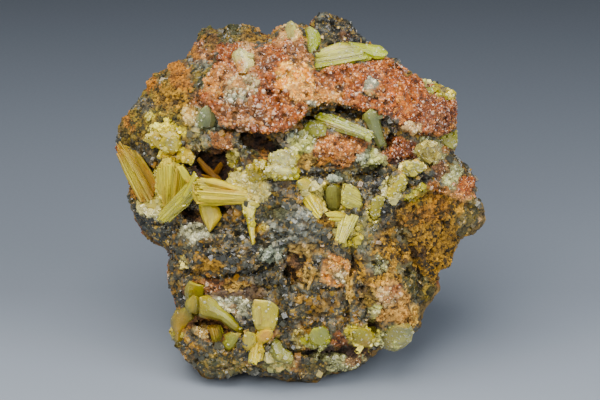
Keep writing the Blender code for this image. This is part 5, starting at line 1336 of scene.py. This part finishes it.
def sheath(shape, rng, grow=0.5, share_thick=1.0):
    """One crystal or bundle: prisms along its axis, a front that fills its outline, broken ends.

    Points in mm, triangles, place along it, which prism each point is on, how far it is a seam, and growth-line places.
    """
    outline, start, end, thick, ribs, ragged, crown = shape
    thick *= share_thick
    a, b = np.array(start[:2], float), np.array(end[:2], float)
    long = float(np.hypot(*(b - a)))
    way = (b - a) / long
    side = np.array([-way[1], way[0]])
    rows = [((np.array(p) - a) @ way / long, (np.array(p) - a) @ side) for p in outline]
    first, last = min(r[0] for r in rows), max(r[0] for r in rows)
    count = int(np.clip(long * (last - first) / 2.6, 7, 22))
    t = first + (last - first) * (0.012 + 0.976 * (0.5 - 0.5 * np.cos(np.linspace(0.16, math.pi - 0.16, count)) / math.cos(0.16)))
    low, high = np.zeros(count), np.zeros(count)
    for k, here in enumerate(t):
        hits = [
            s0 + (s1 - s0) * (here - t0) / (t1 - t0)
            for (t0, s0), (t1, s1) in zip(rows, rows[1:] + rows[:1]) if (t0 <= here) != (t1 <= here)
        ]
        low[k], high[k] = min(hits) - grow, max(hits) + grow
        if high[k] - low[k] < 0.6:
            low[k], high[k] = (low[k] + high[k]) / 2 - 0.3, (low[k] + high[k]) / 2 + 0.3
    w0, w1 = smooth_front(np.array([a[0], b[0]]), np.array([a[1], b[1]])) + np.array([start[2], end[2]])
    q, rise, owner, seam = profile(ribs, crown, rng)
    fronts = len(q)
    length = rng.uniform(-1, 0.5, owner.max() + 1)[owner] + rng.uniform(-0.12, 0.12, fronts)
    drop_at = rng.uniform(0.45, 1.7, owner.max() + 1)[owner]
    drop = rng.uniform(0.10, 0.42, owner.max() + 1)[owner] * (ribs > 9)
    back_q, back_rise = np.array([0.80, 0.0, -0.80]), np.array([-0.60, -0.85, -0.60])
    q_all, rise_all = np.concatenate([q, back_q]), np.concatenate([rise, back_rise])
    owner_all, seam_all = np.concatenate([owner, [0, 0, 0]]), np.concatenate([seam, [1.0, 1.0, 1.0]])
    around = len(q_all)
    points, along = [], []
    for k, here in enumerate(t):
        share = (here - first) / (last - first)
        h = rise_all.copy()
        h[:fronts] *= 1 - drop * (share > drop_at)
        h[:fronts] *= 1 + (0.03 if ribs > 9 else 0.008) * rng.uniform(-1, 1, fronts)
        h *= 0.40 + 0.60 * float(step(share / 0.16))
        h *= 0.74 + 0.26 * math.sqrt(min(1.0, (1 - share) / 0.07))
        middle, half = (low[k] + high[k]) / 2, (high[k] - low[k]) / 2
        shift = np.zeros(around)
        shift[:fronts] = 1.5 * ragged * length * (max(share, 0) ** 4 + 0.3 * (1 - share) ** 4)
        where = a[:, None] + way[:, None] * long * (here + shift) + side[:, None] * (middle + half * q_all)
        points.append(np.stack([where[0], where[1], w0 + (w1 - w0) * here + thick * h], 1))
        along.append(np.full(around, share))
    ends = [points[0].mean(0), points[-1].mean(0)]
    ends[0][:2] -= way * 0.2
    ends[1][:2] += way * 0.2
    uvw = np.concatenate(points + [np.array(ends)])
    faces = []
    step_on = np.arange(around)
    for k in range(count - 1):
        p, n = k * around + step_on, k * around + (step_on + 1) % around
        faces += [np.stack([p, n, n + around], 1), np.stack([p, n + around, p + around], 1)]
    faces.append(np.stack([(step_on + 1) % around, step_on, np.full(around, len(uvw) - 2)], 1))
    p = (count - 1) * around
    faces.append(np.stack([p + step_on, p + (step_on + 1) % around, np.full(around, len(uvw) - 1)], 1))
    faces = np.concatenate(faces)
    across = np.concatenate([(low[k] + high[k]) / 2 + (high[k] - low[k]) / 2 * q_all for k in range(count)] + [np.zeros(2)]) * UNIT
    lengths = np.concatenate([np.full(around, here * long * UNIT) for here in t] + [np.array([t[0], t[-1]]) * long * UNIT])
    along = np.concatenate(along + [np.array([0.0, 1.0])])
    owner = np.concatenate([np.tile(owner_all, count), [0, 0]])
    seam = np.concatenate([np.tile(seam_all, count), [0.3, 0.0]])
    out = place(uvw[:, 0], uvw[:, 1], uvw[:, 2])
    volume = np.einsum("ij,ij->i", out[faces[:, 0]], np.cross(out[faces[:, 1]], out[faces[:, 2]])).sum()
    if volume < 0:
        faces = faces[:, ::-1]
    return out, faces, along, owner, seam, np.stack([across, lengths], 1)


def bundle(shape, rng):
    """Straight six-sided prisms side by side that fill the outline, each with its own length and broken end."""
    outline, start, end, thick, ribs, ragged, crown = shape
    a, b = np.array(start[:2], float), np.array(end[:2], float)
    long = float(np.hypot(*(b - a)))
    way = (b - a) / long
    side = np.array([-way[1], way[0]])
    rows = [((np.array(p) - a) @ way / long, (np.array(p) - a) @ side) for p in outline]
    first, last = min(r[0] for r in rows), max(r[0] for r in rows)

    def edges(share):
        here = first + (last - first) * share
        hits = [
            s0 + (s1 - s0) * (here - t0) / (t1 - t0)
            for (t0, s0), (t1, s1) in zip(rows, rows[1:] + rows[:1]) if (t0 <= here) != (t1 <= here)
        ]
        return here, (min(hits) + max(hits)) / 2, (max(hits) - min(hits)) / 2

    (t0, mid0, half0), (_, _, half_mid), (t1, mid1, half1) = edges(0.24), edges(0.5), edges(0.76)
    w0, w1 = smooth_front(np.array([a[0], b[0]]), np.array([a[1], b[1]])) + np.array([start[2], end[2]])
    count = max(5, round(0.62 * ribs))
    spots = np.linspace(-1, 1, 2 * count + 1)[1::2]
    rows_out = []
    order = [(s, 0.0) for s in spots] + [(s, 0.45) for s in rng.choice(spots, max(2, count // 3), replace=False)]
    angle = np.arange(6) * math.pi / 3
    points, faces, along, owner, streak, base = [], [], [], [], [], 0
    for number, (s, upper) in enumerate(order):
        s = s + rng.uniform(-0.22, 0.22) * 2 / count
        p0 = a + way * long * t0 + side * (mid0 + 0.90 * s * half0)
        p1 = a + way * long * t1 + side * (mid1 + 0.90 * (s + rng.uniform(-0.3, 0.3) / count) * half1)
        k = np.linspace(-0.7, 1.7, 120)
        line = p0 + (p1 - p0) * k[:, None]
        inside = k[polygon_distance(line[:, 0], line[:, 1], outline) > 0.1]
        if len(inside) < 8:
            continue
        k0, k1 = inside.min(), inside.max()
        span = k1 - k0
        k1 += span * rng.uniform(-1.3 * ragged - 0.03, 0.35 * ragged)
        k0 += span * (rng.uniform(0.25, 0.5) if upper else rng.uniform(-0.02, 0.08))
        run = p1 - p0
        run_long = float(np.hypot(*run))
        across = np.array([-run[1], run[0]]) / run_long
        half = half_mid / count * rng.uniform(1.05, 1.75) * (0.8 if upper else 1.0)
        tall = half * UNIT * rng.uniform(0.8, 1.3)
        crest = thick * ((1 - abs(np.clip(s, -1, 1)) ** crown) * rng.uniform(0.66, 1.0) + 0.10 + 0.22 * upper)
        turn = rng.uniform(0, math.pi / 3)
        tilt = rng.uniform(-0.8, 0.8, 2)
        ring_at = np.linspace(k0, k1, 5)
        for r, here in enumerate(ring_at):
            share = (here - k0) / (k1 - k0)
            wide = np.interp(here, [-0.4, 0.5, 1.4], [half0 / half_mid, 1.0, half1 / half_mid])
            wide = np.clip(wide, 0.45, 1.35) * rng.uniform(0.95, 1.04)
            centre = p0 + run * here
            slope = t0 + (t1 - t0) * here
            w = w0 + (w1 - w0) * slope + crest * (0.55 + 0.45 * float(step(share / 0.25))) - 0.55 * tall
            x, y = half * wide * np.cos(angle + turn), tall * wide * np.sin(angle + turn)
            slide = ((r == 4) - (r == 0)) * (tilt[0] * x + tilt[1] * y / UNIT) * 0.5
            uv = centre + across * x[:, None] + run[None] / run_long * slide[:, None]
            points.append(np.stack([uv[:, 0], uv[:, 1], w + y], 1))
            along.append(np.full(6, np.clip(slope, 0, 1)))
            streak.append(np.stack([number * 3.7 + (angle + turn) * half * UNIT, np.full(6, here * run_long * UNIT)], 1))
        points.append(np.stack([points[-5].mean(0), points[-1].mean(0)]))
        along.append(np.array([0.0, 1.0]))
        streak.append(np.array([[number * 3.7, k0 * run_long * UNIT], [number * 3.7, k1 * run_long * UNIT]]))
        m = np.arange(6)
        n = (m + 1) % 6
        for r in range(4):
            p, q = base + r * 6 + m, base + r * 6 + n
            faces += [np.stack([p, q, q + 6], 1), np.stack([p, q + 6, p + 6], 1)]
        faces.append(np.stack([base + n, base + m, np.full(6, base + 30)], 1))
        faces.append(np.stack([base + 24 + m, base + 24 + n, np.full(6, base + 31)], 1))
        owner.append(np.full(32, number % 64))
        rows_out.append(base)
        base += 32
    uvw, faces = np.concatenate(points), np.concatenate(faces)
    out = place(uvw[:, 0], uvw[:, 1], uvw[:, 2])
    # every prism the right way out
    for begin in rows_out:
        own = (faces[:, 0] >= begin) & (faces[:, 0] < begin + 32)
        f = faces[own]
        middle = out[begin:begin + 32].mean(0)
        volume = np.einsum("ij,ij->i", out[f[:, 0]] - middle, np.cross(out[f[:, 1]] - middle, out[f[:, 2]] - middle)).sum()
        if volume < 0:
            faces[own] = f[:, ::-1]
    return out, faces, np.concatenate(along), np.concatenate(owner), np.zeros(len(out)), np.concatenate(streak)


# lays the crystals' own tones and the painted highlights on them, by place
def tone_and_highlight(name, p, colour):
    u, v, _ = unplace(p)
    u, v = u + 1.2 * NOISE["b"](p) + 0.8 * NOISE["c"](p), v + 1.2 * NOISE["e"](p) + 0.8 * NOISE["f"](p)
    for cu, cv, ru, rv, turn, tone, strength in TONES_AND_HIGHLIGHTS.get(name, []):
        a = math.radians(turn)
        x, y = u - cu, v - cv
        d = np.hypot((x * math.cos(a) + y * math.sin(a)) / ru, (-x * math.sin(a) + y * math.cos(a)) / rv)
        t = (step((1.15 - d) / 0.5) * strength)[:, None]
        colour = colour * (1 - t) + crystal_linear(tone) * t
    return colour


def crystal_linear(colour):
    return linear(colour) * np.array([0.99, 0.96, 0.50])


def crystal_piece(name, material):
    body, root, tip, finish, stubs, specks = CRYSTALS[name]
    body, root, tip = crystal_linear(body), crystal_linear(root), crystal_linear(tip)
    rng = np.random.default_rng(sum(map(ord, name)) * 31)
    near, far = (np.array(corner) * 1000 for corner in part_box(name))
    near, far = near - 1.5, far + 1.5
    all_points, all_faces, all_streaks, all_tints, all_finish, base = [], [], [], [], [], 0
    solids = []
    for shape in SHAPES[name]:
        if shape[4] > 9:
            solids += [(sheath(shape, rng, -0.9, 0.55), 1.0, 1.0), (bundle(shape, rng), 0.0, 1.0)]
        else:
            solids.append((sheath(shape, rng), 0.0, 0.0))
    for (p, f, along, owner, seam, streak), inner, many in solids:
        p = np.clip(p, near, far)
        shade = rng.uniform(0.80, 1.16, 64)[owner][:, None] * rng.uniform(0.94, 1.06) * rng.uniform(0.86, 1.10, (len(p), 1))
        low, high = step((0.34 - along) / 0.34)[:, None], step((along - 0.72) / 0.28)[:, None] * rng.uniform(0.4, 0.9)
        colour = (body * (1 - low) + root * low)
        colour = colour * (1 - high) + tip * high
        colour = tone_and_highlight(name, p, colour) * shade
        stained = (rng.uniform(0, 1, 64) < 0.16)[owner][:, None] * 0.45
        colour = colour * (1 - stained) + colour * np.array([0.98, 0.74, 0.55]) * stained
        paler = (rng.uniform(0, 1, 64) < 0.22)[owner][:, None] * 0.20 * many
        colour = colour * (1 - paler) + np.array([0.58, 0.50, 0.13]) * paler
        seam = np.maximum(0.45 * seam, 0.28 * inner)[:, None]
        colour = colour * (1 - seam) + (0.35 * colour + np.array([0.105, 0.052, 0.008])) * seam
        colour = colour * (1 + 0.14 * NOISE["b"](p + 7.0)[:, None] + 0.10 * NOISE["c"](p)[:, None])
        all_points.append(p)
        all_faces.append(f + base)
        all_streaks.append(streak[f.ravel()])
        all_tints.append(colour)
        all_finish.append(np.clip(finish + 0.25 * NOISE["c"](p) - 0.2 * low[:, 0], 0, 1))
        base += len(p)
    host = Surface(np.concatenate(all_points), np.concatenate(all_faces))
    facing = np.clip(host.face_normals @ np.array([0, -COS, SIN]), 0, 1) ** 0.5
    for template, count, size, tilt, squash, light in (
        (stub(), stubs, 0.62, 0.55, (0.9, 2.0), (0.85, 1.15)), (quartz_point(), specks, 0.27, 0.6, (0.7, 1.2), (0.8, 1.25)),
    ):
        if not count:
            continue
        at, normals, _ = host.pick(facing, int(0.5 * count * (1.0)), rng)
        colour = tone_and_highlight(name, at, np.repeat(body[None], len(at), 0)) * rng.uniform(*light, (len(at), 1))
        if template[0].shape[0] == 13:
            colour = colour * 0.55 + 0.45 * np.array([0.72, 0.70, 0.52])
        p, f, tints, _ = grains(template, at, normals, size * np.exp(np.clip(rng.normal(0, 0.45, len(at)), -1.0, 0.45)), colour, rng, tilt=tilt, squash=squash, sink=0.3)
        p = np.clip(p, near, far)
        all_points.append(p)
        all_faces.append(f + base)
        all_streaks.append((p[:, :2] + p[:, 2:])[f.ravel()])
        all_tints.append(tints)
        all_finish.append(np.full(len(p), min(1.0, finish + 0.1)))
        base += len(p)
    points, faces = np.concatenate(all_points), np.concatenate(all_faces)
    obj = build(
        name + "_crystals", points, faces, material, smooth=True, tint=np.concatenate(all_tints),
        finish=np.concatenate(all_finish), streak=np.concatenate(all_streaks), sharp=9.0,
    )
    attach(obj, "root")
    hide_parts(name)
    return obj


# ================================================================ the rock
def triangles_of(obj):
    obj.data.calc_loop_triangles()
    tri = np.empty(len(obj.data.loop_triangles) * 3, np.int32)
    obj.data.loop_triangles.foreach_get("vertices", tri)
    co = np.empty(len(obj.data.vertices) * 3, np.float32)
    obj.data.vertices.foreach_get("co", co)
    return co.reshape(-1, 3).astype(float) * 1000.0, tri.reshape(-1, 3).astype(np.int64)


ROCK = rock_material("rock")
points, quads = matrix_mesh(0.44)
points, quads = tidy(points, quads)
normals = point_normals(points, quads)
if float(((points - points.mean(0)) * normals).sum(1).mean()) < 0:
    quads, normals = quads[:, ::-1], -normals
_, kinds, front = paint(points)
points, _ = roughen(points, normals, kinds, front)
draft = build("draft", points, quads, ROCK)
thin = draft.modifiers.new("thin", "DECIMATE")
target = 196000
thin.ratio = min(1.0, target / (2.0 * len(quads)))
thin.use_collapse_triangulate = True
bpy.context.view_layer.update()
fewer = bpy.data.meshes.new_from_object(draft.evaluated_get(bpy.context.evaluated_depsgraph_get()))
bpy.data.objects.remove(draft)
holder = bpy.data.objects.new("fewer", fewer)
rock_points, rock_faces = triangles_of(holder)
bpy.data.objects.remove(holder)
rock_normals = point_normals(rock_points, rock_faces)
tint, kinds, front = paint(rock_points)
druse, black, ochre, pale, crust = kinds.T


def hollowness(p, normals):
    """How far each point lies below the mean of the rock round it, used for the painted shade in hollows."""
    low = np.zeros(len(p))
    number = np.round((p - LOW) / 2.0).astype(np.int64)
    code = (number[:, 0] * 4096 + number[:, 1]) * 4096 + number[:, 2]
    _, index, counts = np.unique(code, return_inverse=True, return_counts=True)
    mean = np.stack([np.bincount(index, p[:, k]) / counts for k in range(3)], 1)
    low = ((mean[index] - p) * normals).sum(1)
    return low


low = hollowness(rock_points, rock_normals)
# painted shade and painted light: the rock's colour is darkened in hollows and lightened on raised parts, standing in
# for how the light falls
shade = np.clip(1.0 - 0.98 * np.clip(low / 0.42, -0.38, 1.0), 0.12, 1.36)
tint = tint * shade[:, None]
# painted shade: the rock under the druse, pale quartz and crust grains is darkened so the gaps between the grains look
# shaded
tint = tint * (1.0 - 0.48 * druse - 0.38 * pale - 0.35 * crust)[:, None]
finish = np.clip(0.30 * druse + 0.75 * black + 0.12 * ochre + 0.65 * pale + 0.6 * crust, 0, 1)
rock = build(
    "matrix_rock", rock_points, rock_faces, ROCK, tint=tint, finish=finish,
    directions=rock_normals[rock_faces].mean(1), sharp=48.0, speck=np.clip(black - 0.2, 0, 1) * (0.4 + 0.6 * front),
)
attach(rock, "root")
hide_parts("matrix")

# ================================================================ grains on it
ground = Surface(rock_points, rock_faces)
mid_tint, mid_kinds, mid_front = paint(ground.middles)
mid_u, mid_v, mid_w = unplace(ground.middles)
# painted shade for the grains: darker in hollows, a little lighter on raised parts, taken from the rock's painted shade
mid_shade = np.clip(shade[rock_faces].mean(1), 0.40, 1.15)
off_base = step((ground.middles[:, 2] - 0.8) / 1.5)
rng = np.random.default_rng(9)
SHARE = 1.0


def scatter(template, weight, count, size, kind, look, spread=0.4, light=(0.6, 1.4), white=0.0, fleck=0.0, tone=None, **rest):
    at, normals, chosen = ground.pick(weight * off_base, int(count * SHARE), rng)
    if not len(at):
        return np.zeros((0, 3)), np.zeros((0, 3), int), np.zeros((0, 3)), np.zeros((0, 3))
    colour, here, _ = paint(at + rng.normal(0, 0.55, at.shape))
    keep = here[:, kind] > 0.45 if kind is not None else np.ones(len(at), bool)
    # the grains take the painted shade of the hollows they sit in
    at, normals, colour = at[keep], normals[keep], colour[keep] * mid_shade[chosen[keep]][:, None]
    if tone is not None:
        colour = 0.3 * colour + 0.7 * np.array(tone)
    sizes = size * np.exp(np.clip(rng.normal(0, spread, len(at)), -1.2, 0.62))
    colour = colour * rng.uniform(*light, (len(at), 1))
    # a share of the grains is made pale: partly pale quartz, partly painted glints
    if white:
        pale_and_glint_grain = (rng.uniform(0, 1, len(at)) < white)[:, None]
        colour = np.where(pale_and_glint_grain, colour * 0.45 + 0.55 * np.array([0.66, 0.50, 0.34]), colour)
    if fleck:
        stained = (rng.uniform(0, 1, len(at)) < fleck)[:, None]
        colour = np.where(stained, np.array([0.30, 0.19, 0.026]) * rng.uniform(0.5, 1.4, (len(at), 1)), colour)
    if look is not None:
        colour = colour * look
    return grains(template, at, normals, sizes, colour, rng, **rest)


def add_piece(name, parts, material, smooth=False):
    p, f, t, d = joined(parts)
    obj = build(name, p, f, material, smooth=smooth, tint=t, directions=d)
    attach(obj, "root")
    return obj


on_front = 0.12 + 0.88 * mid_front
shelf_here = step(SHELF_MAP(mid_u, mid_v) / 3 + 0.5) * mid_front
coarse = np.clip(1 - np.hypot((mid_u - 245) / 34, (mid_v - 114) / 20), 0, 1) * shelf_here
druse_parts = [
    scatter(spark(), mid_kinds[:, DRUSE] * on_front, 14500, 0.27, DRUSE, None, spread=0.42, light=(0.42, 1.50), white=0.045, tilt=0.6, wobble=0.2, sink=0.15),
    scatter(quartz_point(), (coarse > 0.05) * 1.0, 520, 0.62, DRUSE, 1.0, spread=0.28, light=(0.5, 1.35), white=0.08, tilt=0.4, sink=0.3),
    scatter(quartz_point(), mid_kinds[:, DRUSE] * mid_front, 2300, 0.38, DRUSE, 1.0, light=(0.5, 1.4), white=0.06, tilt=0.5, sink=0.25),
]
mass = np.zeros(len(mid_u))
for cu, cv, ru, rv in ((251, 191, 17, 13), (238, 179, 9, 6), (153, 208, 14, 8), (234, 158, 4, 11), (258, 174, 12, 9), (312, 190, 12, 8), (392, 188, 12, 12), (344, 226, 10, 12), (276, 358, 10, 8)):
    mass = np.maximum(mass, step((1.15 - np.hypot((mid_u - cu) / ru, (mid_v - cv) / rv)) / 0.4) * mid_front)
pale_parts = [
    scatter(stub(), mass, 900, 0.64, None, None, spread=0.35, light=(0.75, 1.3), tone=(0.58, 0.51, 0.15), tilt=0.7, squash=(0.9, 1.7), sink=0.35),
    scatter(quartz_point(), mid_kinds[:, PALE] * on_front, 3300, 0.44, PALE, None, spread=0.4, light=(0.6, 1.35), tilt=0.6),
    scatter(quartz_point(), mid_kinds[:, CRUST] * on_front, 1200, 0.42, CRUST, None, spread=0.4, light=(0.6, 1.3), tilt=0.6),
    scatter(spark(), mid_kinds[:, PALE] * on_front, 5200, 0.27, PALE, None, spread=0.42, light=(0.45, 1.5), tilt=0.7, wobble=0.2),
    scatter(stub(), mid_kinds[:, CRUST] * on_front, 1500, 0.46, CRUST, None, spread=0.4, light=(0.7, 1.35), tilt=0.7, squash=(1.0, 2.2)),
]
black_parts = [
    scatter(spark(), mid_kinds[:, BLACK] * on_front, 9500, 0.34, BLACK, None, spread=0.45, light=(0.55, 1.35), wobble=0.35, squash=(0.4, 0.8), sink=0.1, tilt=0.8, fleck=0.20),
    scatter(block(), mid_kinds[:, BLACK] * mid_front, 3000, 0.56, BLACK, None, spread=0.4, light=(0.5, 1.3), wobble=0.22, squash=(0.6, 1.1), sink=0.25, tilt=0.8, fleck=0.06),
]
ochre_parts = [
    scatter(spark(), mid_kinds[:, OCHRE] * on_front, 11000, 0.32, OCHRE, None, spread=0.45, light=(0.42, 1.5), wobble=0.35, squash=(0.5, 1.0), sink=0.1, tilt=0.8),
    scatter(block(), mid_kinds[:, OCHRE] * mid_front, 2600, 0.36, OCHRE, None, spread=0.4, light=(0.7, 1.3), wobble=0.3, sink=0.15, tilt=0.9),
]
add_piece("druse_grains", druse_parts, druse_material("stained_quartz"))
add_piece("pale_grains", pale_parts, druse_material("pale_quartz", rough=(0.12, 0.32), coat=0.5))
add_piece("oxide_grains", black_parts, druse_material("black_oxide", rough=(0.22, 0.46), coat=0.25))
add_piece("limonite_grains", ochre_parts, rock_material("limonite", bump=0.4, grit=0.8))

# ================================================================ crystals
PYROMORPHITE = crystal_material("pyromorphite", rough=(0.18, 0.40))
GLASSY = crystal_material("clear_pyromorphite", clear=0.40, rough=(0.05, 0.18), density=90.0, coat=0.45, gloss=0.40, subsurface=0.25, streaks=0.5)
QUARTZ = crystal_material("quartz", clear=0.55, rough=(0.08, 0.26), absorb=(0.9, 0.92, 0.9), density=40.0, ior=1.54, coat=0.5, subsurface=0.15, streaks=0.2, gloss=0.5)
SATIN = crystal_material("satin_pyromorphite", rough=(0.34, 0.54), coat=0.0, gloss=0.12)
for name in SHAPES:
    if "quartz" in name or name in ("top_spike", "druse_knob"):
        surface = QUARTZ
    elif name in ("glossy_prism", "bright_centre_cluster", "low_centre_pair", "pocket_green_crystal", "druse_flanked_crystal", "low_right_green", "tall_green_crystal"):
        surface = GLASSY
    elif name in ("left_edge_sheaf", "left_fan", "horizontal_fan", "tooth_crystal", "pocket_blades"):
        surface = SATIN
    else:
        surface = PYROMORPHITE
    crystal_piece(name, surface)

# ================================================================ floor, light and camera
n = Nodes("floor")
where = n.add("ShaderNodeTexCoord").outputs["Object"]
split = n.add("ShaderNodeSeparateXYZ")
n.link(where, split.inputs[0])
# painted shade: the floor's colour darkens towards the back, standing in for the light falling off with distance
near = n.between(split.outputs["Y"], -0.03, 0.045, 0.0, 1.0)
far = n.between(split.outputs["Y"], 0.0, 0.42, 0.0, 1.0)
cloth = n.noise(where, 900.0, 2.0, 0.5)
base = n.mix(far, n.mix(near, (0.215, 0.246, 0.292), (0.152, 0.178, 0.218)), (0.038, 0.048, 0.065))
n.link(n.mix(n.between(cloth, 0.3, 0.7, 0.0, 0.05), base, (0.26, 0.28, 0.31)), n.shader.inputs["Base Color"])
n.shader.inputs["Roughness"].default_value = 0.75
mesh = bpy.data.meshes.new("floor")
bm = bmesh.new()
bmesh.ops.create_grid(bm, x_segments=2, y_segments=2, size=2.0)
bm.to_mesh(mesh)
bm.free()
mesh.materials.append(n.material)
floor = bpy.data.objects.new("floor", mesh)
bpy.context.scene.collection.objects.link(floor)

target = Vector((SHIFT[0], SHIFT[1], LIFT)) * 0.001
camera_data = bpy.data.cameras.new("camera")
camera_data.lens, camera_data.sensor_width = 137.8, 36.0
camera_data.clip_start = 0.05
camera = bpy.data.objects.new("camera", camera_data)
camera.location = target + Vector((0, -COS, SIN)) * 0.620
camera.rotation_euler = (math.radians(70.0), 0, 0)
bpy.context.scene.collection.objects.link(camera)
bpy.context.scene.camera = camera


def softbox(name, at, size, watts, colour):
    data = bpy.data.lights.new(name, "AREA")
    data.shape, data.size, data.size_y = "RECTANGLE", size[0], size[1]
    data.energy, data.color = watts, colour
    obj = bpy.data.objects.new(name, data)
    obj.location = at
    way = Vector((0, 0, 0.04)) - Vector(at)
    obj.rotation_euler = way.to_track_quat("-Z", "Y").to_euler()
    bpy.context.scene.collection.objects.link(obj)
    return obj


softbox("key", (-0.13, -0.25, 0.63), (0.60, 0.48), 8.2, (1.0, 0.97, 0.92))
softbox("front", (-0.16, -0.70, 0.42), (0.35, 0.30), 4.2, (1.0, 0.98, 0.95))
softbox("fill", (0.52, -0.42, 0.30), (0.36, 0.36), 3.9, (0.97, 0.98, 1.0))
world = bpy.data.worlds.new("world")
world.use_nodes = True
world.node_tree.nodes["Background"].inputs["Color"].default_value = (0.62, 0.68, 0.76, 1)
world.node_tree.nodes["Background"].inputs["Strength"].default_value = 0.36
bpy.context.scene.world = world
